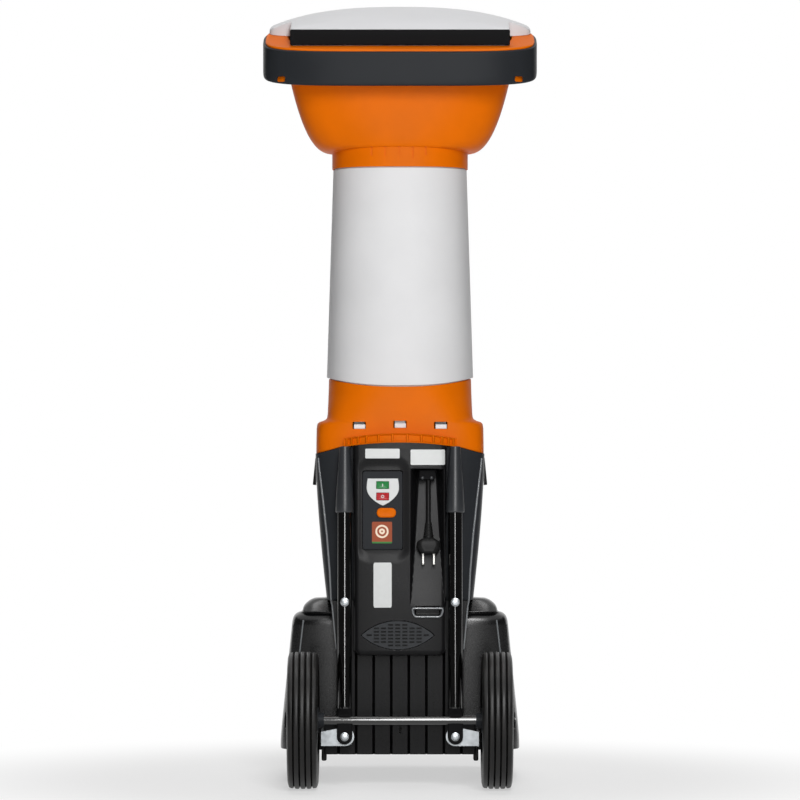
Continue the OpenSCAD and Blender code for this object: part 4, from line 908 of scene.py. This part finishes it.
def shroud_section(z):
    """Outline of the shroud at a height: its half width follows the shoulder, and the rest of it goes over
    smoothly from the squarish foot to the round neck, so that the rear face has no ledge."""
    half = np.interp(z, (586, 630, 637.5, 640, 642, 644, 646.6, 650, 655, 680, SHROUD_TOP),
                     (149, 148.5, 147.5, 146, 143, 136.5, 131.8, 130, 129.2, 128.3, 127.3))
    return (float(half), *mixed(SHROUD_LOW, SHROUD_NECK, float(ease((z - 600) / 110)))[1:])


def window_z(x):
    """Height of the middle of the shroud's window at x: 1.8 mm higher for the middle one."""
    return 636.2 + 1.8 * (1 - (x / WINDOWS[-1]) ** 2)


class SHREDDER_OT_shroud(bpy.types.Operator):
    """Shroud with its windows and the ribbed brow over the rear cover"""

    bl_idname = "shredder.shroud"
    bl_label = "Shroud"

    def execute(self, context):
        xy = outline(SHROUD_LOW)
        lift = BODY_TOP + SEAM + seam_lift(xy)
        heights = (606, 614, 622, 630, 634, 637.5, 640, 642, 644, 646.6, 650, 655, 662, 672, 684, 694)
        rings = [raised(xy, lift)] + [level(shroud_section(z), z) for z in heights]
        rings += [dipped(inset(SHROUD_NECK, t), SHROUD_TOP, TUBE_DIP) for t in (0, WALL)]
        rings += [level(inset(shroud_section(z), WALL), z - 3) for z in heights[::-1]]
        rings.append(raised(outline(inset(SHROUD_LOW, WALL)), lift))
        radii = [1.2] + [0] * len(heights) + [1.2, 1.2] + [0] * len(heights) + [1]
        shroud = piece("shroud", walled(rings, radii), "orange", "shroud")
        for x in WINDOWS:
            y = float(rear_y(shroud_section(WINDOW_Z), x))
            cut_away(shroud, (23.5, 12.6, 1.2, 32), [x, window_z(x)], y - 12, y + 10)

        # Brow: a ledge whose face has a radius of 190, cut into cells by ribs that close up to its ends
        x = np.linspace(-100, 100, 601)
        turns = np.array([-70, -58.5, -47.5, -36, -22, -7.4, 7.4, 22, 36, 47.5, 58.5, 70])
        away = np.abs(x[:, None] - 100 * np.sin(np.radians(turns))).min(1)
        pocket = 4.0 * np.clip((away - 1.3) / 1.1, 0, 1) * np.clip((100 - np.abs(x)) / 4, 0, 1)
        foot = BODY_TOP + 12.3 + 8 * (1 - (x / 100) ** 2)
        face = 26.5 - np.sqrt(190.0 ** 2 - x ** 2)
        back = rear_y(inset(SHROUD_LOW, 4), x)
        top = foot + 16 - 1.5 * (np.abs(x) / 100) ** 4
        profile = [(back, foot), (face, foot), (face, foot + 2), (face + pocket, foot + 3.2),
                   (face + pocket, top - 3.2), (face + 1.2, top - 1.6), (face + 3.4, top), (back, top)]
        piece("brow", skinned(np.stack([np.stack([x, y, z], -1) for y, z in profile], 1)), "orange")
        dress("charcoal", "inlet_plate")
        return {"FINISHED"}


def body_section(z):
    """Outline of the body at a height: between its lower and upper outlines by 1 - (1 - t)^1.5."""
    return mixed(BODY_LOW, BODY_HIGH, 1 - (1 - (z - DECK_Z) / (BODY_TOP - DECK_Z)) ** 1.5)


def panel_half(z):
    """Half width of the rear panel: 135 up to its step, a waist of 112, and out to 120 under the body."""
    return np.interp(z, (112, 120, 241, DECK_Z), (135, 112, 112, 120))


def half_shell(front):
    """A half of the body's skin, as a grid over angle and height with its inner side a wall further in,
    closed all round. It stands back from the parting line by an open seam."""
    sides = []
    for depth in (0.0, WALL):
        rings = []
        for z in np.linspace(DECK_Z + SEAM, BODY_TOP - SEAM, 40):
            xy = outline(inset(body_section(z), depth))
            half = xy[:181] if front else np.concatenate([xy[180:], xy[:1]])
            half = half + [0, SEAM if front else -SEAM]
            rings.append(raised(half, z + seam_lift(half) * (z - DECK_Z) / (BODY_TOP - DECK_Z)))
        sides.append(np.array(rings))
    wall = np.concatenate([sides[0], sides[1][::-1]])
    return skinned(wall.transpose(1, 0, 2))


class SHREDDER_OT_body(bpy.types.Operator):
    """Body shells, the sleeves that hold the legs, the rear corners' painted highlight bead and the locking
    knobs
    """

    bl_idname = "shredder.body"
    bl_label = "Body"

    def execute(self, context):
        piece("front_shell", half_shell(True), "charcoal", "front_housing")

        # Sleeves: tapered round tubes round the legs' upper ends, each on a web that runs out of the shell
        profile = [(12.8, 392), (12.8, 364), (15.4, 364), (16.4, 366), (16, 376), (14.6, 405), (11, 455),
                   (9.6, 478), (8.4, 480)]
        sleeve = skinned(leaned(turned_about(profile, 64)))
        web = []
        for z in np.linspace(488, 598, 24):
            y = AXLE_Y + (z - AXLE_Z) * math.tan(LEG_LEAN)
            back = float(rear_y(body_section(min(z, BODY_TOP)), LEG_X)) + 1
            web.append(raised(rounded_box(14, back - y, 3, 40) + [LEG_X, (y + back) / 2], z))
        piece("rear_shell", joined(half_shell(False), paired(*skinned(web))), "charcoal", "rear_housing")
        piece("leg_sleeves", paired(*sleeve), "rubbed")

        # Bead: a slim rounded rib along the rear corner, from the shroud to the deck and down the rear panel.
        # Its light grey is a painted highlight along the corner.
        z = np.concatenate([np.linspace(578, 327, 60), np.linspace(318, 241, 20)])
        on_body = z >= DECK_Z
        corner = np.interp(z, (327, 379, 442, 507, 561, 578), (121.5, 124, 129, 136, 142.5, 144))
        x = np.where(on_body, corner, panel_half(z))
        y = [float(rear_y(body_section(max(h, DECK_Z)), at)) for h, at in zip(z, x)]
        piece("corner_highlight_beads", beads(x, np.where(on_body, y, -127.5), z, 1.9), "edge")

        # Knobs: flat discs with grip ribs round them and a wing across, which stands out by 0.6 mm at its
        # upper end and by 5.4 mm at its lower end
        ribs = context.scene.shredder_sizes.knob_ribs
        face = body_section(KNOB_Z)[0] + 1
        a = np.linspace(0, 2 * np.pi, ribs * 10, endpoint=False)
        grip = 1 - 0.035 * (0.5 - 0.5 * np.cos(ribs * a)) ** 2
        rings = []
        for r, h in ((0.99, 0), (1, 0.4), (1, 1), (0.97, 1.4), (0.9, 1.6), (0.6, 1.8), (0.3, 1.9),
                     (0.05, 1.9)):
            reach = KNOB_R * r * (grip if r > 0.95 else 0.97)
            disc = np.stack([reach * np.cos(a), reach * np.sin(a)], -1)
            rings.append(along_x(raised(disc, face + h)) + [0, 0, KNOB_Z])
        bar, bar_faces = slab(rounded_box(13, 49, 6, 64), 0, 3, 1.4, 0.1)
        tall = 0.6 + 4.8 * (24.5 - bar[:, 2]) / 49
        bar = np.stack([face + 1 + tall * (1 - bar[:, 1] / 3), bar[:, 0], KNOB_Z + bar[:, 2]], -1)
        stem = along_x(turned_about([(7, face - 9), (7, face + 1)], 32)) + [0, 0, KNOB_Z]
        knob = joined(skinned(rings), (bar, bar_faces), skinned(stem))
        piece("right_knob", knob, "black", "right_knob", body="right_knob")
        piece("left_knob", mirrored(*knob), "black", "left_knob", body="left_knob")
        return {"FINISHED"}


def box_distance(x, z, cx, cz, w, h, r):
    """Signed distance to a rectangle with round corners, negative inside."""
    u, v = np.abs(x - cx) - w / 2 + r, np.abs(z - cz) - h / 2 + r
    return np.hypot(np.maximum(u, 0), np.maximum(v, 0)) + np.minimum(np.maximum(u, v), 0) - r


def cover_y(x, z):
    """The y of the rear cover's face: flat, slightly crowned, with a rounded border, a shallow dish and a
    deep recess for the switch panel, a bay whose floor goes in along a ramp towards its top, a lens for the
    grille and a pocket behind the cord loop. Each field adds its depth times a smooth step."""
    edge = 9
    border = np.clip(-box_distance(x, z, *COVER), 0, edge)
    y = COVER_FACE + 2.2 * np.abs(x / (COVER[2] / 2)) ** 3
    y = y + edge - np.sqrt(np.maximum(edge ** 2 - (edge - border) ** 2, 0))
    y = y + 2.4 * ease(0.5 - box_distance(x, z, *DISH) / 20)
    y = y + 9.3 * ease(0.5 - box_distance(x, z, *RECESS) / 1.4)
    t = np.clip((z - 320) / 238, 0, 1)
    foot, half = 30.2 - 16 * t ** 0.8, 30.8
    side = np.clip((half - np.abs(x - 48.3)) / np.maximum(half - foot, 0.6), 0, 1)
    y = y + 37 * t * ease(side) * ease((559.5 - z) / 2.5)
    lens = np.maximum(np.hypot(x + 4, z - 268 - 69.4), np.hypot(x + 4, z - 268 + 69.4)) - 94.4
    y = y + 7 * ease(0.3 - lens / 1.2)
    y = y + 9 * ease(0.5 - box_distance(x, z, *LOOP_POCKET) / 1.2)
    return np.minimum(y, COVER_BACK - 1)


def grid_over(cx, cz, w, h, r, u, v):
    """x and z over a rectangle with round corners: lines u and v from -1 to 1, x drawn in along each
    corner's arc."""
    z = cz + v[:, None] * h / 2 + 0 * u[None]
    near = np.minimum(h / 2 - np.abs(z - cz), r)
    half = w / 2 - r + np.sqrt(np.maximum(r * r - (r - near) ** 2, 0))
    return cx + u[None] * half, z


def thick(x, z, front, back):
    """A closed block: a front grid at y = front, walls round it to y = back, and a fan over its back."""
    rows, columns = x.shape
    grid = np.stack([x, front, z], -1)
    loop = np.concatenate([np.arange(columns), np.arange(1, rows) * columns + columns - 1,
                           (rows - 1) * columns + np.arange(columns - 2, -1, -1),
                           np.arange(rows - 2, 0, -1) * columns])
    wall = grid.reshape(-1, 3)[loop].copy()
    wall[:, 1] = np.broadcast_to(back, x.shape).reshape(-1)[loop]
    start, n = rows * columns, len(loop)
    points = np.concatenate([grid.reshape(-1, 3), wall, wall.mean(0)[None]])
    j = np.arange(n)
    k = (j + 1) % n
    sides = np.stack([loop[k], loop[j], start + j, start + k], -1)
    fan = np.stack([start + k, start + j, np.full(n, start + n)], -1)
    return points, quads_over(rows, columns).tolist() + sides.tolist() + fan.tolist()


def plate_on(x0, x1, z0, z1, surface, t, r=1.5):
    """A thin plate that lies on a surface y(x, z), t thick."""
    lines = np.linspace(-1, 1, 25)
    x, z = grid_over((x0 + x1) / 2, (z0 + z1) / 2, x1 - x0, z1 - z0, r, lines, lines)
    y = surface(x, z)
    return thick(x, z, y - t, y + 0.6)


class SHREDDER_OT_cover(bpy.types.Operator):
    """Rear cover with its recess, cable bay and grille, and the bare plates on it"""

    bl_idname = "shredder.cover"
    bl_label = "Rear cover"

    def execute(self, context):
        # Cover: a grid with finer lines where its face turns sharply, and a top edge that follows the brow
        cz, half_w, half_h = COVER[1], COVER[2] / 2, COVER[3] / 2
        low, top = cz - half_h, 600
        fine = np.array([-1.2, -0.8, -0.4, 0, 0.4, 0.8, 1.2])
        u = np.concatenate([np.linspace(-half_w, half_w, 142), *[c + fine for c in (-65.5, 4.5, 17.8, 78.8)],
                            [-81.3, -80.9, -80.3, 80.3, 80.9, 81.3]])
        v = np.concatenate([np.linspace(low, top, 300), *[c + fine for c in (418, 556, 558.2)],
                            [232.2, 232.6, 233.3, 598.7, 599.4, 599.8]])
        u, v = np.unique(np.round(u, 3)) / half_w, (np.unique(np.round(v, 3)) - cz) / half_h
        x, z = grid_over(*COVER, u, v)
        y = cover_y(x, z)
        z = z + (8 * (1 - (x / 100) ** 2) - 2) * ease((z - 540) / 60)
        piece("rear_cover", thick(x, z, y, COVER_BACK), "black", "rear_cover")
        dress("vent", "vent_grille")
        dress("charcoal", "switch_panel")

        # Clamp: a soft block at the top of the bay, held by two round posts
        block = slab(rounded_box(28, 17, 3, 48) + [48, 549.5], -160, -140, 1.5)
        piece("cord_clamp", block, "seal", "cord_clamp")
        posts = [slab(circle(3, 32) + [x, 544], -164, -159, 1.4, 0.4) for x in (39.6, 55.4)]
        piece("clamp_posts", joined(*posts), "rubbed")
        t = context.scene.shredder_sizes.plate_thickness / MM
        plates = [plate_on(*spot, cover_y, t) for spot in
                  ((-46.5, -14.6, 316.5, 395.5), (-61, -0.6, 578.5, 595.5), (18.6, 79, 567, 594))]
        piece("bare_plates", joined(*plates), "plate")

        # Cord loop: an oval bar bent to a rounded trapezoid, in the light grey that paints a highlight round
        # it
        shape = rounded_box(51, 15, 4.5, 120)
        shape[:, 0] *= 1 + 0.09 * shape[:, 1] / 7.5
        middle = np.stack([48.5 + shape[:, 0], np.full(120, -175.0), 308 + shape[:, 1]], -1)
        along = np.roll(middle, -1, 0) - np.roll(middle, 1, 0)
        along /= np.linalg.norm(along, axis=1, keepdims=True)
        out = np.broadcast_to([0, -1.0, 0], middle.shape)
        bar = swept(middle, np.cross(along, out), out, circle(1, 16) * [2.0, 2.9])
        piece("cord_loop", skinned(bar, closed=True), "edge", "cord_loop")
        return {"FINISHED"}


class SHREDDER_OT_controls(bpy.types.Operator):
    """Shield, push buttons with their marks, direction slider and picture plate"""

    bl_idname = "shredder.controls"
    bl_label = "Controls"

    def execute(self, context):
        # Shield: 26.6 mm to each side at its top, 28.4 a third of the way down, then 28.4 (1 - q^2)^0.85
        t, waist = np.linspace(0, 1, 61), 0.34
        q = np.clip((t - waist) / (1 - waist), 0, 1)
        half = np.where(t < waist, 26.6 + 1.8 * np.sin(np.pi / 2 * t / waist), 28.4 * (1 - q ** 2) ** 0.85)
        left, right = (np.stack([side * half - 30.2, 543 - 47.4 * t], -1) for side in (-1, 1))
        shape = np.concatenate([left, right[-2::-1]])
        shield = piece("shield", slab(shape, PANEL_Y - 1.5, PANEL_Y, 0.4), "plate", "switch_shield")
        for z in (START_Z, STOP_Z):
            cut_away(shield, (22.8, 13.8, 1, 32), [BUTTON_X, z], -170, -160)

        # Buttons: dished caps, with a bar on the one and a ring on the other, just proud of the dish
        low, proud = -166.5, -167.35
        bar = slab(rounded_box(1.5, 5, 0.5, 32) + [BUTTON_X, START_Z], proud, low, 0.1)
        rings = [np.stack([c[:, 0] + BUTTON_X, np.full(48, y), c[:, 1] + STOP_Z], -1)
                 for c, y in ((circle(2.7, 48), low), (circle(2.7, 48), proud), (circle(1.7, 48), proud),
                              (circle(1.7, 48), low))]
        for name, z, look, mark in (("start_button", START_Z, "go", bar),
                                    ("stop_button", STOP_Z, "halt", skinned(rings, closed=True))):
            cap = slab(rounded_box(22, 13, 1.6, 64) + [BUTTON_X, z], -167.5, -158, 1.3, -0.5)
            piece(name, cap, look, name, body=name)
            piece(name + "_mark", mark, "plate", body=name)

        # Slider: a pill with a thumb dimple, on its stem
        pill = slab(rounded_box(34, 17, 8, 96) + [-24, 483], -169.3, -164.3, 2.6, -1.0)
        stem = slab(rounded_box(10, 6, 0.6, 32) + [-33, 483], -165, -158, 0.3)
        piece("direction_slider", joined(pill, stem), "orange", "direction_slider", body="direction_slider")
        picture = plate_on(-49.3, -13.9, 429, 467, lambda x, z: np.full_like(x, PANEL_Y), 0.4, 1)
        piece("picture_plate", picture, "picture")
        return {"FINISHED"}


class SHREDDER_OT_legs(bpy.types.Operator):
    """Leg tubes with flattened ends, their bolts, and the zinc brackets"""

    bl_idname = "shredder.legs"
    bl_label = "Legs"

    def execute(self, context):
        # Leg: a flat, rounded end, dull up to 21 mm above the axle, a swaged stretch and a round tube
        end = -29 - 13.4 * np.cos(np.linspace(0, np.pi / 2, 14))
        z = np.concatenate([end, np.linspace(-28, 40, 40), np.linspace(45, 390, 30)])
        w = ease((z - 8) / 14)
        tip = np.sqrt(np.maximum(1 - (np.minimum(z + 29, 0) / 13.5) ** 2, 0.004))
        boxes = [rounded_box(2 * (13.5 - k) * s, 2 * (5 + 7.5 * k), (3.2 + 9.25 * k) * s * 0.99, 64)
                 for k, s in zip(w, tip)]
        rings = np.stack([raised(box, h) for box, h in zip(boxes, z)])
        leg = skinned(leaned(rings[z > 20]))
        piece("right_leg", leg, "enamel", "right_leg")
        piece("left_leg", mirrored(*leg), "enamel", "left_leg")
        piece("leg_ends", paired(*skinned(leaned(rings[z < 21]))), "seal")

        # Bolts: low round heads over a washer flange, one through the tube and one through the flat end
        r = context.scene.shredder_sizes.bolt_head / MM / 2
        bolts = []
        for h, face, reach in ((LEG_BOLT_Z, 12.5, 45), (-29, 5, 20)):
            profile = [(4, reach), (4, 0.2), (r + 1, 0.2), (r + 1, -0.9), (r, -1.2), (r * 0.96, -3.0),
                       (r * 0.86, -3.9), (r * 0.5, -4.3), (r * 0.05, -4.4)]
            bolts.append(skinned(leaned(along_y(turned_about(profile, 48)) + [0, -face, h])))
        piece("leg_bolts", paired(*joined(*bolts)), "zinc", "leg_bolts")
        dress("zinc", "stay_brackets")
        dress("black", "axle_caps")
        dress("enamel", "axle")
        dress("charcoal", "axle_spacers")
        return {"FINISHED"}


class SHREDDER_OT_wheels(bpy.types.Operator):
    """Tyres with round ribs, on their moulded rims"""

    bl_idname = "shredder.wheels"
    bl_label = "Wheels"

    def execute(self, context):
        sizes = context.scene.shredder_sizes
        ribs, deep = sizes.tread_ribs, sizes.tread_depth / MM
        # Tread: each rib falls by deep |s|^4.5 across its pitch, over a crown that falls off to the shoulders
        x = np.linspace(-26, 26, 40 * ribs + 1)
        s = (x / 52 * ribs + ribs / 2) % 1 * 2 - 1
        tread = np.stack([120 - 3.2 * np.abs(x / 26) ** 3.5 - deep * np.abs(s) ** 4.5, x], -1)
        flank = np.array([(110, 26.6), (104, 27), (97, 26), (92, 23.4), (87, 19.5), (84.3, 17)])
        profile = np.concatenate([flank[::-1] * [1, -1], tread, flank])
        tyre = skinned(along_x(turned_about(profile, 180)) + [TRACK / 2, AXLE_Y, AXLE_Z], closed=True)
        piece("right_tyre", tyre, "tyre", "right_tyre", body="right_wheel")
        piece("left_tyre", mirrored(*tyre), "tyre", "left_tyre", body="left_wheel")
        dress("charcoal", "left_rim", "right_rim")
        return {"FINISHED"}


class SHREDDER_OT_foot(bpy.types.Operator):
    """Flared foot with its tier and arch, the grooved rear panel and the rubber feet"""

    bl_idname = "shredder.foot"
    bl_label = "Foot"

    def execute(self, context):
        # Foot: flared sides, an upper tier with a sloped rear, and the deck's opening. Its top falls by
        # 0.045 y to the front, and its lower edge is 8 mm higher at the rear.
        rings = [level(section, z) for section, z in (
            (FOOT_LOW, 50), (FOOT_LOW, 80), (FOOT_HIGH, 287), (inset(FOOT_HIGH, 3.3), 296),
            (inset(FOOT_HIGH, 10), 301), (TIER_LOW, 303), (TIER_MIDDLE, 315), (TIER_HIGH, DECK_Z),
            (DECK_OPENING, DECK_Z), (DECK_OPENING, 322), (inset(TIER_LOW, 26), 316),
            (inset(FOOT_HIGH, 15), 296), (inset(FOOT_HIGH, 5), 282), (inset(FOOT_LOW, 5), 80),
            (inset(FOOT_LOW, 5), 50))]
        for ring in rings[2:8] + rings[10:-2]:
            ring[:, 2] -= 0.045 * np.maximum(ring[:, 1], 0)
        for ring in (rings[0], rings[-1]):
            ring[:, 2] += 8 * np.clip(1 - ring[:, 1] / 110, 0, 1)
        shell = walled(rings, [2, 40, 8, 5, 3, 3, 10, 10, 2, 2, 4, 8, 20, 20, 2], 6)
        foot = piece("foot", shell, "gloss", "foot_housing")
        cut_away(foot, (244, 412, 40, 96), [0, -1], 100, 360)

        # Bead: a slim rounded rib down each rear corner, from the ledge to behind the wheel. Its light grey
        # is a painted highlight along the corner.
        z = np.linspace(289, 92, 50)
        x = 171.5 + (295 - z) * 0.113
        y = [float(rear_y(mixed(FOOT_LOW, FOOT_HIGH, (h - 80) / 207), at)) for h, at in zip(z, x)]
        piece("foot_highlight_beads", beads(x, y, z, 1.6), "edge")

        # Rear panel: rows of a plan whose rear face has V grooves 31 mm apart. Beyond x = 105 the plan is
        # drawn in to the half width at its height, and the outer grooves end at the step.
        sizes = context.scene.shredder_sizes
        wide, deep, pitch, step = sizes.groove_width / MM, sizes.groove_depth / MM, 31, 112
        x = np.linspace(-131, 131, 1049)
        away = np.abs((x / pitch + 4) % 1 - 0.5) * pitch
        groove = deep * np.maximum(1 - away / (wide / 2), 0) * (np.abs(x) < 120)
        a = np.linspace(0, np.pi / 2, 8)
        corner = np.stack([131 + 4 * np.sin(a), -126 - 4 * np.cos(a)], -1)
        rows, inner = [], []
        for z in (55.5, 80, 111.6, 112.4, 116, 120, 180, 241, 260, 290, 326.6):
            face = -130 + np.where((np.abs(x) > 95) & (z > step), 0, groove)
            plan = np.concatenate([[(-135, -60)], (corner * [-1, 1])[::-1], np.stack([x, face], -1)[1:-1],
                                   corner, [(135, -60)]])
            out = np.maximum(np.abs(plan[:, 0]) - 105, 0) * (1 - (float(panel_half(z)) - 105) / 30)
            plan[:, 0] -= np.sign(plan[:, 0]) * out
            rows.append(raised(plan, z))
            half = np.abs(plan[0, 0]) - 5
            lining = np.stack([np.clip(plan[:, 0], -half, half), np.maximum(plan[:, 1], -120)], -1)
            inner.append(raised(lining, z))
        columns = np.stack(rows + inner[::-1], 1)
        columns[[0, -1], :, 1] = -57.4
        boss = skinned(leaned(along_y(turned_about([(9, 12.8), (9, 44)], 40)) + [0, 0, LEG_BOLT_Z]))
        panel = piece("rear_panel", joined(skinned(columns), paired(*boss)), "black", "rear_panel")
        cut_away(panel, (5, 16, 1, 32), [0, 100], -132, -116)
        piece("panel_feet", paired(*slab(rounded_box(9, 28, 3, 40) + [134, 58], -129, -112, 2)), "foot")
        dress("foot", "front_feet")
        return {"FINISHED"}


class SHREDDER_OT_cutting_unit(bpy.types.Operator):
    """Finishes of the motor, the cutting chamber and the knives"""

    bl_idname = "shredder.cutting_unit"
    bl_label = "Cutting unit"

    def execute(self, context):
        dress("cast", "motor_plate", "end_shield")
        dress("black", "discharge_chute", "cooling_fan", "switch_box")
        dress("steel", "cutting_chamber", "counter_knife", "upper_bearing", "lower_bearing", "rotor_shaft",
              "blade_disc", "knives", "thrower_wings")
        dress("charcoal", "motor_can")
        dress("core", "stator_core", "rotor_core")
        dress("wire", "stator_windings")
        dress("cup", "capacitor")
        dress("zinc", "blade_screw")
        return {"FINISHED"}


PIECES = (SHREDDER_OT_stage, SHREDDER_OT_cord, SHREDDER_OT_hopper, SHREDDER_OT_lid, SHREDDER_OT_tube,
          SHREDDER_OT_shroud, SHREDDER_OT_body, SHREDDER_OT_cover, SHREDDER_OT_controls, SHREDDER_OT_legs,
          SHREDDER_OT_wheels, SHREDDER_OT_foot, SHREDDER_OT_cutting_unit)


class SHREDDER_PT_pieces(bpy.types.Panel):
    """Sizes, colours and the pieces to make"""

    bl_idname = "SHREDDER_PT_pieces"
    bl_label = "Garden shredder"
    bl_space_type = "VIEW_3D"
    bl_region_type = "UI"
    bl_category = "Shredder"

    def draw(self, context):
        for group in (context.scene.shredder_colours, context.scene.shredder_sizes):
            box = self.layout.box()
            for name in group.bl_rna.properties.keys():
                if name not in ("rna_type", "name"):
                    box.prop(group, name)
        for operator in PIECES:
            self.layout.operator(operator.bl_idname)


CLASSES = (ShredderColours, ShredderSizes, *PIECES, SHREDDER_PT_pieces)


def register():
    """Registers the classes and hangs the two property groups on the scene."""
    for cls in CLASSES:
        bpy.utils.register_class(cls)
    bpy.types.Scene.shredder_colours = PointerProperty(type=ShredderColours)
    bpy.types.Scene.shredder_sizes = PointerProperty(type=ShredderSizes)


def unregister():
    """Takes them off again."""
    del bpy.types.Scene.shredder_colours, bpy.types.Scene.shredder_sizes
    for cls in reversed(CLASSES):
        bpy.utils.unregister_class(cls)


def main():
    """Registers the add-on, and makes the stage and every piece."""
    register()
    bpy.ops.shredder.stage()
    bpy.ops.shredder.cord()
    bpy.ops.shredder.hopper()
    bpy.ops.shredder.lid()
    bpy.ops.shredder.tube()
    bpy.ops.shredder.shroud()
    bpy.ops.shredder.body()
    bpy.ops.shredder.cover()
    bpy.ops.shredder.controls()
    bpy.ops.shredder.legs()
    bpy.ops.shredder.wheels()
    bpy.ops.shredder.foot()
    bpy.ops.shredder.cutting_unit()


if __name__ == "__main__":
    main()
